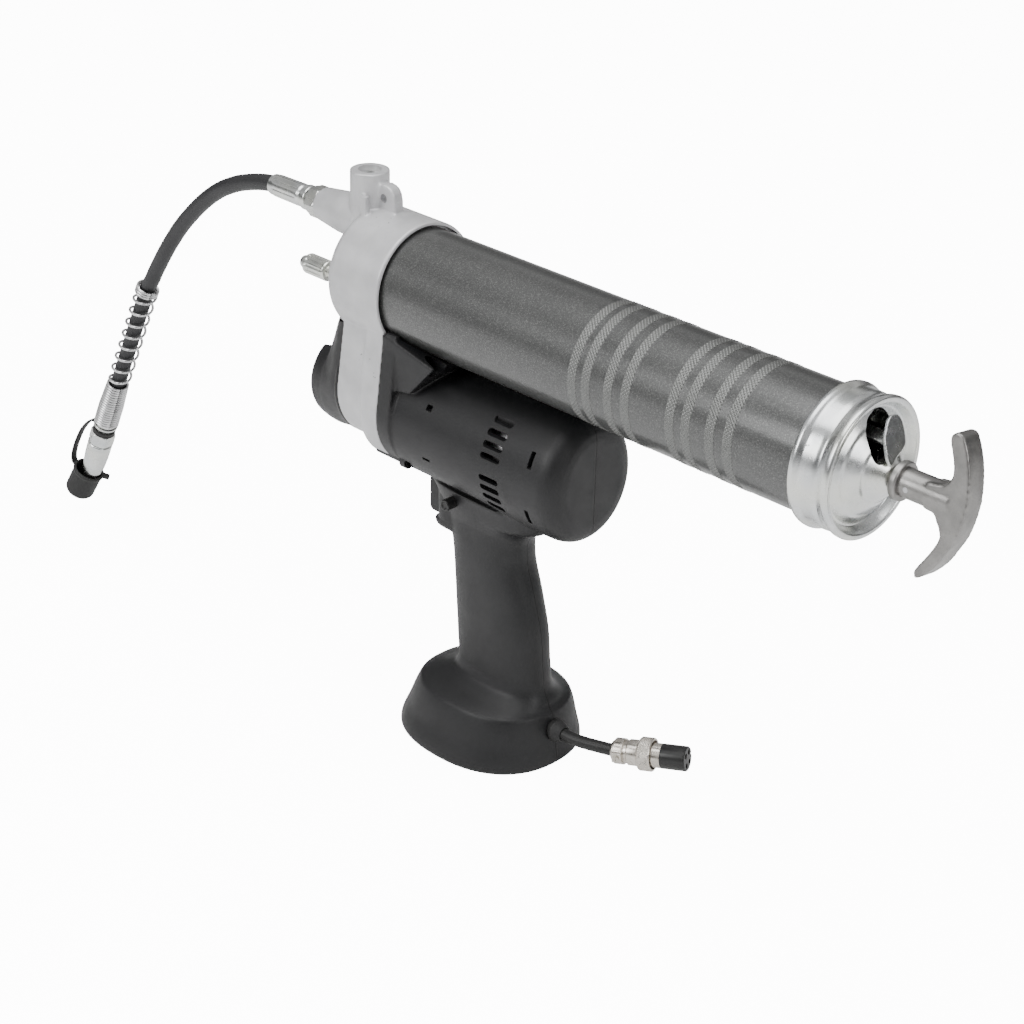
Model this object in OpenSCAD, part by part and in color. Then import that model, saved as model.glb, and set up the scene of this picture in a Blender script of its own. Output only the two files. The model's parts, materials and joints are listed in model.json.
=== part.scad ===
// Electric grease gun with pistol grip, flexible hose, follower rod and power pigtail.
// Frame: origin at the centre of the foot's underside, +X to the outlet, +Y to the tool's left, +Z up.

/* [Reservoir] */
// height of the barrel axis above the foot
axis_z = 223; // [210:1:240]
// outside radius of the barrel tube
barrel_r = 28.5; // [26:0.5:31]
// wall of the barrel tube
barrel_wall = 1.3; // [1:0.1:2]
// rear end of the barrel tube
barrel_x0 = -204.5; // [-230:0.5:-190]
// front end of the barrel tube, inside the collar
barrel_x1 = 70.5; // [68:0.5:72]
// outside radius of the casting's collar
collar_r = 31.6; // [31:0.1:34]
// radius of the follower rod
rod_r = 3.5; // [3:0.5:4.5]
// radius over the latch disc of the end cap
cap_r = 31.4; // [30.5:0.1:33]
// how far the rod pulls back
rod_travel = 205; // [150:5:210]

/* [Pump head] */
// position of the pump column along the tool
pump_x = 89; // [86:0.5:92]
// outside radius of the pump column
pump_r = 9.6; // [8.5:0.1:11]
// top of the pump column
pump_top = 271.4; // [265:0.1:276]
// radius of the pump plunger
plunger_r = 3.95; // [3:0.05:5]
// height of the outlet axis
outlet_z = 245; // [240:0.5:250]
// front face of the outlet boss
outlet_x = 122; // [115:1:126]
// radius of the hole in the hanging lug
lug_hole_r = 2.2; // [1.5:0.1:3]

/* [Drive] */
// height of the motor axis
motor_z = 161; // [158:0.5:164]
// outside radius of the motor can
motor_r = 22; // [18:0.5:24]
// throw of the crank pin
crank_throw = 3; // [2:0.5:3]
// gear module
gear_m = 0.8; // [0.6:0.1:1]
// teeth on the sun pinion
sun_teeth = 12; // [12:6:12]
// teeth on each planet gear
planet_teeth = 18; // [18:6:18]

/* [Grip and foot] */
// half length of the foot
foot_a = 46.4; // [42:0.1:50]
// half width of the foot
foot_b = 39.7; // [36:0.1:44]
// half width of the grip
grip_b = 14.3; // [13:0.1:17]
// trigger travel
trigger_travel = 6; // [4:0.5:8]

/* [Hose and cable] */
// radius of the grease hose
hose_r = 4.3; // [3.5:0.1:6]
// radius of the wire of the hose guard
guard_wire = 0.75; // [0.5:0.05:1]
// radius of the power cable
cable_r = 3.1; // [2.5:0.1:4]

/* [Hidden] */
$fn = 48;
eps = 0.01;
ring_teeth = sun_teeth + 2 * planet_teeth;
sun_pr = gear_m * sun_teeth / 2;
planet_pr = gear_m * planet_teeth / 2;
ring_pr = gear_m * ring_teeth / 2;
planet_orbit = sun_pr + planet_pr;
barrel_ir = barrel_r - barrel_wall;

// outlines: a superellipse of n sides, and the head's drop-shaped outline
function sgn_pow(v, e) = sign(v) * pow(abs(v), e);
function super_pts(a, b, e, n) = [for (i = [0:n - 1]) let (t = 360 * (i + 0.5) / n)
    [a * sgn_pow(cos(t), 2 / e), b * sgn_pow(sin(t), 2 / e)]];
function drop_start(r, zc, yt, zt) =
    let (d = norm([yt, zt - zc])) atan2(zt - zc, yt) - acos(min(1, r / d));
function drop_pts(r, zc, yt, zt, n) =
    let (a0 = drop_start(r, zc, yt, zt), sweep = 180 + 2 * a0)
    concat([[yt, zt]],
        [for (i = [0:n]) let (t = a0 - sweep * i / n) [r * cos(t), zc + r * sin(t)]],
        [[-yt, zt]]);

// joins rings of the same number of points into one closed solid
function total(v, i = 0) = i == len(v) - 1 ? v[i] : v[i] + total(v, i + 1);
function ring_normal(r) = total([for (j = [0:len(r) - 1]) cross(r[j], r[(j + 1) % len(r)])]);
function reversed(r) = [for (j = [len(r) - 1:-1:0]) r[j]];
function loft_faces(rings, n) = concat(
    [[for (j = [0:n - 1]) j]],
    [for (i = [0:rings - 2], j = [0:n - 1]) let (k = (j + 1) % n)
        [(i + 1) * n + j, (i + 1) * n + k, i * n + k]],
    [for (i = [0:rings - 2], j = [0:n - 1]) let (k = (j + 1) % n)
        [(i + 1) * n + j, i * n + k, i * n + j]],
    [[for (j = [0:n - 1]) rings * n - 1 - j]]);

module loft(rings) {
    n = len(rings[0]);
    ahead = total(rings[1]) - total(rings[0]);
    turned = ring_normal(rings[0]) * ahead < 0;
    points = [for (r = rings) each (turned ? reversed(r) : r)];
    polyhedron(points = points, faces = loft_faces(len(rings), n), convexity = 6);
}

// bars and revolved shapes along the three axes
module xcyl(x0, x1, r, y = 0, z = 0) {
    translate([x0, y, z]) rotate([0, 90, 0]) cylinder(h = x1 - x0, r = r);
}
module ycyl(y0, y1, r, x = 0, z = 0) {
    translate([x, y0, z]) rotate([-90, 0, 0]) cylinder(h = y1 - y0, r = r);
}
module zcyl(z0, z1, r, x = 0, y = 0) {
    translate([x, y, z0]) cylinder(h = z1 - z0, r = r);
}
module xrev(pts, y = 0, z = 0) {
    translate([0, y, z]) rotate([0, 90, 0]) rotate_extrude() polygon([for (p = pts) [p[1], p[0]]]);
}
module zrev(pts) {
    rotate_extrude() polygon([for (p = pts) [p[1], p[0]]]);
}
module box(x0, x1, y0, y1, z0, z1) {
    translate([x0, y0, z0]) cube([x1 - x0, y1 - y0, z1 - z0]);
}
module xz_plate(pts, y0, y1) {
    translate([0, y1, 0]) rotate([90, 0, 0]) linear_extrude(height = y1 - y0) polygon(pts);
}
module yz_plate(pts, x0, x1) {
    translate([x0, 0, 0]) rotate([90, 0, 90]) linear_extrude(height = x1 - x0) polygon(pts);
}

// gear outlines with backlash in the teeth
module gear_2d(teeth, phase) {
    pr = gear_m * teeth / 2;
    ro = pr + 0.75 * gear_m;
    ri = pr - 0.95 * gear_m;
    step = 360 / teeth;
    polygon([for (i = [0:teeth - 1], k = [0:3])
        let (a = step * i + phase + [-0.27, -0.13, 0.13, 0.27][k] * step, r = [ri, ro, ro, ri][k])
        [r * cos(a), r * sin(a)]]);
}
module ring_teeth_2d(teeth) {
    pr = gear_m * teeth / 2;
    ro = pr + 0.95 * gear_m;
    ri = pr - 0.75 * gear_m;
    step = 360 / teeth;
    polygon([for (i = [0:teeth - 1], k = [0:3])
        let (a = step * i + [-0.25, -0.13, 0.13, 0.25][k] * step, r = [ro, ri, ri, ro][k])
        [r * cos(a), r * sin(a)]]);
}

// route of the hose: x, y, z of each point
hose_path = [[148, 0, 245], [158, 0, 245], [166, 0, 244.2], [173.9, 0.1, 242.5], [180.8, 0.2, 240.5],
    [187.6, 0.4, 238.2], [193.9, 0.6, 235.4], [200.2, 0.8, 232.2], [206.5, 1, 228.2],
    [212.7, 1.3, 223.6], [219.4, 1.6, 217.9], [226.1, 1.9, 211.5], [232.3, 2.2, 205.1],
    [237.6, 2.5, 198.9], [242, 2.7, 193.2], [246.2, 2.9, 187.6], [250.2, 3.1, 181.8],
    [253.8, 3.3, 176.2], [257.2, 3.5, 170.9], [260.4, 3.7, 165.4], [264, 3.9, 160], [268.2, 4.2, 151],
    [272.3, 4.5, 142], [276.4, 4.8, 132.9], [280.5, 5, 123.8], [284.6, 5.3, 114.7],
    [288.7, 5.6, 105.6], [292.8, 5.8, 96.5], [296.8, 6.1, 87.5], [300, 6.3, 80.3],
    [303.1, 6.5, 73.4]];
guard_from = 20;
// the guard runs on over the sleeve
guard_path = concat(hose_path, [[306.8, 6.8, 64.7]]);

// route of the power cable
cable_path = [[-40, 0, 19.5], [-46, 0, 19.5], [-52, 0, 19.5], [-58, -0.6, 19.5],
    [-64, -2, 19.6], [-70, -3.9, 19.8], [-75.4, -5.9, 19.9], [-80, -7.8, 20.4]];

// coupler and cap frames: a point and the two angles of their axis
coupler_at = [303.1, 6.5, 73.4];
coupler_tilt = 157;
coupler_turn = 5;
dust_cap_at = [323.8, 8.4, 30.1];
dust_cap_tilt = 152;
dust_cap_turn = 20;
plug_at = [-77.2, -6.6, 20];
plug_tilt = 82.5;
plug_turn = 202.6;

module in_frame(at, tilt, turn) {
    translate(at) rotate([0, tilt, turn]) children();
}

// swept tube: direction, side and up vectors along a route
function unit(v) = v / norm(v);
function tangent(p, i) = unit(p[min(i + 1, len(p) - 1)] - p[max(i - 1, 0)]);
function side_of(t, up) = unit(cross(up, t));
function tube_ring(c, t, up, r, n) = let (s = side_of(t, up), u = cross(t, s))
    [for (j = [0:n - 1]) c + r * (cos(360 * j / n) * s + sin(360 * j / n) * u)];
module tube(path, r, n, up) {
    loft([for (i = [0:len(path) - 1]) tube_ring(path[i], tangent(path, i), up, r, n)]);
}

// point, tangent and side at a fraction s of a route, counted in points
function path_at(p, s) = let (i = min(floor(s), len(p) - 2), f = s - i) p[i] * (1 - f) + p[i + 1] * f;
function path_dir(p, s) = let (i = min(floor(s), len(p) - 2), f = s - i)
    unit(tangent(p, i) * (1 - f) + tangent(p, i + 1) * f);
function guard_point(p, s, ang, r) = let (t = path_dir(p, s), a = side_of(t, [0, 1, 0]), b = cross(t, a))
    path_at(p, s) + r * (cos(ang) * a + sin(ang) * b);

/* ---- reservoir ---- */

barrel_color = [0.42, 0.42, 0.44];
zinc_color = [0.8, 0.81, 0.8];
cast_color = [0.84, 0.84, 0.86];
black_color = [0.16, 0.16, 0.17];

// knurled grip bands on the barrel: low ends of each
knurl_x = [-75.6, -83.8, -96.8, -106.7, -132.3, -141.2, -154.4, -164.1];
knurl_w = 5;

module barrel_tube() {
    color(barrel_color)
    difference() {
        union() {
            xcyl(barrel_x0, barrel_x1, barrel_r, z = axis_z);
            for (x = knurl_x) {
                xcyl(x, x + knurl_w, barrel_r + 0.25, z = axis_z);
            }
        }
        xcyl(barrel_x0 - 1, barrel_x1 + 1, barrel_ir, z = axis_z);
    }
}

module barrel_gasket() {
    color([0.1, 0.1, 0.1])
    difference() {
        xcyl(barrel_x1, barrel_x1 + 2.5, barrel_r, z = axis_z);
        xcyl(barrel_x1 - 1, barrel_x1 + 4, barrel_ir - 1, z = axis_z);
    }
}

cap_outer = [[-196, barrel_r + 0.05], [-196, 31.9], [-198.5, 32.2], [-200.5, 30.7], [-207, 30.5],
    [-209, 29.7], [-211.5, 30.6], [-213, 31.3], [-215, cap_r], [-216, 30.6], [-216, 28.6],
    [-213.5, 27.4], [-211.5, 26.2], [-211.5, 25], [-226.6, 6.4], [-227.6, 5.4],
    [-227.6, rod_r + 0.06], [-221.5, rod_r + 0.06], [-221.5, 7.6], [-212.5, 17.8], [-205, 17.8],
    [-205, barrel_r + 0.05]];
// opening for the latch arm: y and height above the rod
cap_window = [[7.6, 6.8], [8.9, 10.6], [8.4, 16], [6.8, 20], [3.5, 23.2], [-3.6, 24.8], [-8.6, 22.4],
    [-9.2, 17], [-7.6, 11.8], [-2.6, 9.6], [1.4, 8.2]];
module end_cap() {
    color(zinc_color)
    difference() {
        xrev(cap_outer, z = axis_z);
        translate([0, 0, axis_z]) yz_plate(cap_window, -232, -204);
    }
}

// locking plate that grips the rod, with a thumb tab through the cap's window
latch_x0 = -203.4;
latch_x1 = -201.8;
tab_outline = [[5.9, -1.5], [7.1, 1.8], [6.4, 6.6], [5.2, 10.4], [2.9, 13.3], [0, 16.4], [-3.4, 17.5],
    [-6.4, 16.1], [-7.6, 13.3], [-7.4, 8.8], [-6, 4.3], [-2.4, 2.1], [1.4, 0.6]];
module latch_plate() {
    color(zinc_color)
    translate([0, 0, axis_z])
    difference() {
        union() {
            box(latch_x0, latch_x1, -9, 9, -17.6, 16);
            ycyl(-9, 9, 0.8, x = -202.6, z = -17.6);
            box(-224.2, latch_x1, -5, 5, 14.4, 16);
            translate([-227.5, 0, 9]) rotate([0, 25.2, 0]) yz_plate(tab_outline, 0, 1.6);
        }
        xcyl(-206, -200, rod_r + 0.9);
        box(-206, -200, -rod_r - 0.9, rod_r + 0.9, 0, 3);
    }
}

// leaf spring with two arms that lean on the latch plate
leaf_outline = [[-205, -22.6], [-205, -18.4], [-201.4, -18.4], [-201.7, 6], [-201.4, 9], [-200.8, 9],
    [-201, 6], [-200.7, -19.2], [-204.2, -19.2], [-204.2, -22.6]];
module latch_spring() {
    color([0.7, 0.7, 0.7])
    translate([0, 0, axis_z])
    for (s = [-1, 1]) {
        xz_plate(leaf_outline, s * 6.8 - 1.6, s * 6.8 + 1.6);
    }
}

module follower_rod() {
    color([0.74, 0.74, 0.75])
    difference() {
        union() {
            xcyl(-240, 57, rod_r, z = axis_z);
            xcyl(52.2, 54.2, 5.2, z = axis_z);
        }
        ycyl(-6, 6, 1.2, x = pin_x, z = axis_z);
    }
}

// pull handle: hub on the rod and a curved cross bar
handle_turn = 8;
bar_outline = [[-264.6, 3], [-264, 9], [-262.8, 15], [-261, 20.7], [-258.5, 26], [-256.4, 29],
    [-253.6, 29.4], [-251.4, 27.6], [-251.4, 25], [-252.7, 21.8], [-254.4, 17.4], [-255.3, 13.5],
    [-254.9, 10], [-252.6, 7], [-249, 6.3], [-246, 6.3], [-246, -6.3], [-249.8, -6.3],
    [-251.6, -8.2], [-253.9, -11.6], [-254.8, -14.7], [-253.9, -18.1], [-251.9, -22.3],
    [-249.6, -26.4], [-247.4, -30], [-246.4, -32.8], [-247.8, -34.8], [-250.6, -33], [-255.7, -27],
    [-259.1, -20.5], [-262, -14.2], [-263.5, -8.5], [-264.4, -2.2]];
pin_x = -236;
module t_handle() {
    color([0.62, 0.62, 0.63])
    difference() {
        union() {
            translate([0, 0, axis_z]) rotate([handle_turn, 0, 0]) xz_plate(bar_outline, -5.3, 5.3);
            xcyl(-252, -228.4, 6.4, z = axis_z);
            xcyl(-232, -228.4, 8.6, z = axis_z);
        }
        xcyl(-240, -218, rod_r, z = axis_z);
        ycyl(-12, 12, 1.2, x = pin_x, z = axis_z);
    }
}

module handle_pin() {
    color([0.55, 0.55, 0.56]) ycyl(-6.4, 6.4, 1.2, x = pin_x, z = axis_z);
}

// follower: rubber cup between two steel discs, on its own sleeve
module follower_cup() {
    color([0.1, 0.1, 0.1])
    difference() {
        xrev([[40, 5], [40, 24], [38, 26.7], [39.5, 26.9], [47, 26.7], [49, 26.9], [50.5, 26.7],
            [47.5, 22.5], [46, 12], [46, 5]], z = axis_z);
        xcyl(30, 60, 5, z = axis_z);
    }
}

module follower_disc() {
    color([0.72, 0.72, 0.7])
    difference() {
        union() {
            xcyl(37.2, 38, 22, z = axis_z);
            xcyl(38, 40, 20, z = axis_z);
            xcyl(38, 50, 5, z = axis_z);
            xcyl(46, 50, 9, z = axis_z);
        }
        xcyl(36, 60, rod_r + 0.06, z = axis_z);
    }
}

// long compression spring behind the follower
spring_turns = 15;
spring_x0 = -204.1;
spring_x1 = 36.4;
spring_rm = 24.6;
spring_seg = 12;
module follower_spring() {
    n = spring_turns * spring_seg;
    color([0.6, 0.6, 0.62])
    loft([for (i = [0:n])
        let (a = 360 * i / spring_seg,
            x = spring_x0 + (spring_x1 - spring_x0) * i / n,
            c = [x, spring_rm * cos(a), axis_z + spring_rm * sin(a)],
            rad = [0, cos(a), sin(a)])
        [for (j = [0:5]) c + 0.8 * (cos(60 * j) * [1, 0, 0] + sin(60 * j) * rad)]]);
}

/* ---- pump head ---- */

neck_rear = drop_pts(31, 163, 26, 207, 40);
neck_front = drop_pts(30, 168, 25, 206, 40);
// y, z and head seat of each screw through the flange
flange_screws = [[21.6, 196.5, 47.6], [-21.6, 196.5, 47.6], [20.5, 141.2, 42], [-20.5, 141.2, 42]];

module head_casting() {
    color(cast_color)
    difference() {
        union() {
            xrev([[50, 0], [50, collar_r - 0.5], [50.6, collar_r], [82.4, collar_r], [85, collar_r - 1.2],
                [86.4, collar_r - 3.4], [86.4, 0]], z = axis_z);
            yz_plate(neck_rear, 51, 63);
            yz_plate(neck_front, 63, 80);
            zcyl(190, pump_top, pump_r, x = pump_x);
            box(78, pump_x, -pump_r, pump_r, 192, 252);
            xrev([[94, 0], [94, 10.6], [106, 10.4], [outlet_x, 8.3], [outlet_x, 0]], z = outlet_z);
            xz_plate([[68, 252], [68.6, 262], [70, 265.4], [73, 267], [76, 267.4], [82, 270],
                [84, 270], [84, 248]], -3, 3);
        }
        // barrel seat, thread and grease chamber
        xcyl(49, 55, 30, z = axis_z);
        xcyl(49, 73, barrel_r + 0.05, z = axis_z);
        xcyl(72, 76, 22, z = axis_z);
        // grease inlet, pump bore and top plug bore
        xcyl(70, pump_x, 2.6, z = 237);
        zcyl(180, 262, 4, x = pump_x);
        zcyl(256, 280, 5.6, x = pump_x);
        // outlet valve chamber and adapter bore
        xcyl(pump_x, 110, 1.8, z = outlet_z);
        xcyl(105.4, 118, 4.1, z = outlet_z);
        xcyl(116, 130, 5.3, z = outlet_z);
        // bleeder bore
        xcyl(73, 90, 3.2, y = bleed_y, z = bleed_z);
        // hanging lug
        ycyl(-10, 10, lug_hole_r, x = 76, z = 260.6);
        // gear case seat, shaft bore and bearing seat
        xcyl(50, 58.5, 23.1, z = motor_z);
        xcyl(50, 76, 6, z = motor_z);
        xcyl(75.4, 90, 11, z = motor_z);
        for (s = flange_screws) {
            xcyl(50, 61, 2, y = s[0], z = s[1]);
        }
        for (s = nose_screw_at) {
            xcyl(73, 83, 1.5, y = s[0], z = s[1]);
        }
    }
}

module head_screws() {
    color([0.3, 0.3, 0.32]) {
        for (s = flange_screws) {
            head_screw(s[2], 60, s[0], s[1], 1.95, 3.4);
        }
        for (s = nose_screw_at) {
            mirror([1, 0, 0]) head_screw(-94, -75, s[0], s[1], 1.45, 2.9);
        }
    }
}

module head_screw(seat, tip, y, z, r, head_r) {
    difference() {
        union() {
            xcyl(seat, tip, r, y = y, z = z);
            xcyl(seat - 3.6, seat, head_r, y = y, z = z);
        }
        translate([seat - 4, y, z]) rotate([0, 90, 0]) cylinder(h = 2.4, r = head_r / 2, $fn = 6);
    }
}

module top_plug() {
    color(zinc_color)
    difference() {
        union() {
            zcyl(257.5, 268.4, 5.55, x = pump_x);
            zcyl(256, 258, 5, x = pump_x);
        }
        translate([pump_x, 0, 262]) cylinder(h = 10, r = 3, $fn = 6);
        zcyl(267.2, 269, 4.4, x = pump_x);
    }
}

// plunger with its yoke: the window is open far enough for the crank's whole orbit
module pump_plunger() {
    color([0.66, 0.66, 0.68])
    difference() {
        union() {
            zcyl(174, 235, plunger_r, x = pump_x);
            box(86.2, 91.8, -9.7, 9.7, 147.6, 175);
        }
        box(84, 94, -7.5, 7.5, 150.4, 171.6);
    }
}

module check_ball() {
    color([0.8, 0.8, 0.82]) translate([107.6, 0, outlet_z]) sphere(r = 2.8);
}

module check_spring() {
    color([0.7, 0.7, 0.7])
    difference() {
        xcyl(110.5, 116.6, 2.6, z = outlet_z);
        xcyl(110, 118, 1.9, z = outlet_z);
    }
}

module outlet_adapter() {
    color(zinc_color)
    difference() {
        union() {
            xcyl(116.6, outlet_x, 5.3, z = outlet_z);
            translate([outlet_x, 0, outlet_z]) rotate([0, 90, 0]) cylinder(h = 7.5, r = 8.2, $fn = 6);
            xcyl(129.5, 134, 4.4, z = outlet_z);
        }
        xcyl(110, 140, 1.9, z = outlet_z);
    }
}

module hose_ferrule() {
    color(zinc_color)
    difference() {
        xrev([[131, 0], [131, 6.2], [134, 6.4], [136, 5.3], [140, 5.6], [152, 5.3], [159, 5.3], [160, 5],
            [160, 0]], z = outlet_z);
        xcyl(130, 134, 4.4, z = outlet_z);
        xcyl(133, 148, 1.9, z = outlet_z);
        xcyl(148, 162, hose_r, z = outlet_z);
    }
}

/* ---- bleeder ---- */

bleed_y = 23.5;
bleed_z = 224.5;
module bleeder_body() {
    color(zinc_color)
    difference() {
        union() {
            xcyl(76, 91.5, 3.2, y = bleed_y, z = bleed_z);
            xcyl(91.5, 107, 5.1, y = bleed_y, z = bleed_z);
        }
        xcyl(70, 102, 1.5, y = bleed_y, z = bleed_z);
        xcyl(100, 110, 3.6, y = bleed_y, z = bleed_z);
    }
}

module bleeder_spring() {
    color([0.7, 0.7, 0.7])
    difference() {
        xcyl(100, 104.5, 3.4, y = bleed_y, z = bleed_z);
        xcyl(98, 106, 2.7, y = bleed_y, z = bleed_z);
    }
}

module bleeder_button() {
    color([0.62, 0.62, 0.63])
    xrev([[102, 0], [102, 1.4], [104.5, 1.4], [104.5, 3.55], [108.5, 3.55], [110.4, 2.8], [111, 1.4],
        [111, 0]],
        y = bleed_y, z = bleed_z);
}

/* ---- nose cap ---- */

nose_screw_at = [[12.7, 187], [-12.7, 187]];
nose_sections = [[80, 29, 167.5, 23.4, 204], [86, 28.2, 166.5, 21.8, 203], [92, 26.8, 163.8, 18, 198],
    [97, 25.6, 162, 14.6, 191], [99, 25, 161.5, 12.8, 183], [100.5, 24.7, 161.2, 12.8, 179],
    [104, 24, 161, 12.4, 178], [107, 23.2, 160.8, 11.6, 176.6], [109, 21.6, 160.6, 10.4, 174.6],
    [110.4, 18.6, 160.4, 8, 171.4]];
module nose_cap() {
    color(black_color)
    difference() {
        union() {
            loft([for (s = nose_sections)
                [for (p = drop_pts(s[1], s[2], s[3], s[4], 30)) [s[0], p[0], p[1]]]]);
            yz_plate(drop_pts(29.6, 167.5, 20, 196, 30), 80, 82.5);
        }
        xcyl(76, 86.8, collar_r + 0.3, z = axis_z);
        xcyl(79, 106.5, 20, z = motor_z);
        zcyl(168, 215, pump_r + 0.3, x = pump_x);
        box(78, pump_x, -pump_r - 0.3, pump_r + 0.3, 168, 215);
        for (s = nose_screw_at) {
            xcyl(78, 130, 1.7, y = s[0], z = s[1]);
            xcyl(94, 130, 3.4, y = s[0], z = s[1]);
        }
    }
}

/* ---- housing halves ---- */

grip_rings = [[0, 0, foot_a - 2, foot_b - 2, 2.3], [0.8, 0, foot_a - 0.6, foot_b - 0.6, 2.3],
    [2.2, 0, foot_a, foot_b, 2.3], [14, -1.4, 43.6, 36, 2.35], [27, -3, 39.8, 31.6, 2.4],
    [28.5, -3.2, 39, 30.6, 2.4], [29.2, -3.4, 37.8, 29.2, 2.4], [33, -7, 32.4, 20.6, 2.4],
    [37, -9.3, 28, 15.6, 2.5], [42, -9.2, 26.9, 14.4, 2.5], [52, -8.2, 26.8, grip_b, 2.5],
    [64, -7.2, 26.7, grip_b, 2.5], [86, -3.6, 24.6, grip_b, 2.5], [103, -0.1, 22.6, grip_b, 2.5],
    [108, 0.6, 22.9, grip_b, 2.5], [113, 1.2, 23.6, grip_b, 2.5], [117, 1.2, 25.4, grip_b, 2.5],
    [121, -0.2, 28, 14.8, 2.6], [125, -3.4, 33.6, 15.6, 2.8], [134, -3, 40, 17, 3]];
// ledge in front of the grip, under the trigger
ledge_rings = [[106.8, 16, 9, 8, 4], [108.4, 18, 14.4, 11.6, 4], [111.2, 18.4, 15, 12, 4],
    [112.2, 17.6, 13, 12, 4], [131, 17.6, 13, 12.6, 4]];
bay_rings = [[3, 0, 43, 36.4, 2.3], [14, -1.4, 40.6, 33, 2.35], [25.6, -3, 36.8, 28.6, 2.4],
    [31, -7, 29.6, 18, 2.4], [37, -9.3, 25, 12.6, 2.5], [52, -8.2, 24, 11.6, 2.5],
    [64, -7.2, 23.9, 11.6, 2.5], [86, -3.6, 21.8, 11.6, 2.5], [104, -0.1, 19.8, 11.6, 2.5],
    [117, 2, 22, 11.6, 2.5], [125, -1, 25, 12.4, 2.6], [137, -1, 26, 12.6, 3]];
body_rings = [[41.4, 161, 29.7, 29.7], [4, 161, 29.7, 29.7], [-14, 160.8, 29.6, 30.2],
    [-26, 160.5, 29.4, 31.2], [-38, 160.3, 29.2, 31.9], [-48, 160.3, 29, 32], [-54, 160.3, 28.8, 31.8],
    [-58, 160.3, 27.8, 30.8], [-61, 160.3, 25.6, 28.6], [-63.2, 160.3, 22.4, 25.4],
    [-64, 160.3, 18.6, 21.6]];

// screws of the two halves: x, z and half length of the boss
shell_screws = [[-12, 92, 12.6], [-20, 50, 12.6], [27, 14, 29], [-28, 14, 29], [-26, 131, 10],
    [-57, 137, 13], [-55, 183.4, 12]];

module grip_loft(rings) {
    loft([for (s = rings) [for (p = super_pts(s[2], s[3], s[4], 36)) [s[1] + p[0], p[1], s[0]]]]);
}

module shell_outer() {
    grip_loft(grip_rings);
    grip_loft(ledge_rings);
    loft([for (s = body_rings) [for (i = [0:35]) let (t = 10 * i) [s[0], s[2] * cos(t), s[1] + s[3] * sin(t)]]]);
    // flange end and the fairing that runs back under the barrel
    difference() {
        union() {
            yz_plate(neck_rear, 42, 51);
            xz_plate([[51, 177.3], [32.2, 181], [16, 198.6], [46.5, 205.3], [51, 206]], -27, 27);
        }
        xcyl(0, 60, barrel_r + 0.4, z = axis_z);
        xcyl(49, 70, collar_r + 0.4, z = axis_z);
    }
}

module shell_inner() {
    // motor bay
    xcyl(-54, 40, 27, z = motor_z);
    xcyl(-61, -53, 20, z = motor_z);
    xcyl(36, 60, 23.3, z = motor_z);
    // grip bay
    grip_loft(bay_rings);
    // trigger slot
    box(16, 60, -7.9, 7.9, 111.6, 131.5);
    // side slots of the motor bay
    for (s = [-1, 1], z = [184, 178.8, 173.6, 168.4, 157.4, 152.2, 147, 141.8]) {
        vent_slot(-24, z, s);
    }
    // brush slots
    for (s = [-1, 1]) {
        box(-49, -46.6, s * 28 - 8, s * 28 + 8, 171, 178.5);
        box(-48, -45.6, s * 28 - 8, s * 28 + 8, 142, 149.5);
    }
    // small slots near the flange
    for (s = [-1, 1]) {
        box(18.4, 22, s * 27 - 4, s * 27 + 4, 176, 178.6);
        box(16, 21, s * 27 - 5, s * 27 + 5, 151.6, 153);
    }
    // screw pockets behind the flange
    for (s = flange_screws) {
        xcyl(s[1] > motor_z ? 14 : 34.5, s[2], 4.4, y = s[0], z = s[1]);
        xcyl(40, 60, 2.05, y = s[0], z = s[1]);
    }
    // cable inlet
    xcyl(-60, -30, 5, z = 19.5);
    // lock button bore
    ycyl(5, 30, 2.95, x = 13, z = 127.6);
}

module vent_slot(x, z, side) {
    translate([x, 0, z]) {
        box(-4.6, 4.6, side * 26 - 8, side * 26 + 8, -1.5, 1.5);
        ycyl(side * 26 - 8, side * 26 + 8, 1.5, x = -4.6);
        ycyl(side * 26 - 8, side * 26 + 8, 1.5, x = 4.6);
    }
}

module shell_ribs() {
    // two hoops that carry the motor can
    for (x = [-38, 0]) {
        difference() {
            xcyl(x, x + 2.4, 28, z = motor_z);
            xcyl(x - 1, x + 4, motor_r + 0.02, z = motor_z);
        }
    }
    // bosses of the shell screws
    for (s = shell_screws) {
        ycyl(-s[2], s[2], 3.6, x = s[0], z = s[1]);
    }
}

module shell_half(side) {
    difference() {
        intersection() {
            union() {
                difference() {
                    shell_outer();
                    shell_inner();
                }
                shell_ribs();
            }
            box(-80, 60, side > 0 ? 0 : -60, side > 0 ? 60 : 0, -5, 220);
        }
        for (s = shell_screws) {
            ycyl(-60, 9, 1.55, x = s[0], z = s[1]);
            ycyl(-60, -8, 3.2, x = s[0], z = s[1]);
        }
        xcyl(0, 60, barrel_r + 0.4, z = axis_z);
        xcyl(49, 70, collar_r + 0.4, z = axis_z);
    }
}

module housing_left() {
    color(black_color) shell_half(1);
}

module housing_right() {
    color([0.19, 0.19, 0.2]) shell_half(-1);
}

module housing_screws() {
    color([0.3, 0.3, 0.32])
    for (s = shell_screws) {
        difference() {
            union() {
                ycyl(-8, 8.5, 1.5, x = s[0], z = s[1]);
                ycyl(-10.4, -8, 3, x = s[0], z = s[1]);
            }
            box(s[0] - 1.8, s[0] + 1.8, -12, -9.4, s[1] - 0.4, s[1] + 0.4);
            box(s[0] - 0.4, s[0] + 0.4, -12, -9.4, s[1] - 1.8, s[1] + 1.8);
        }
    }
}

/* ---- motor and gearbox ---- */

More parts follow.
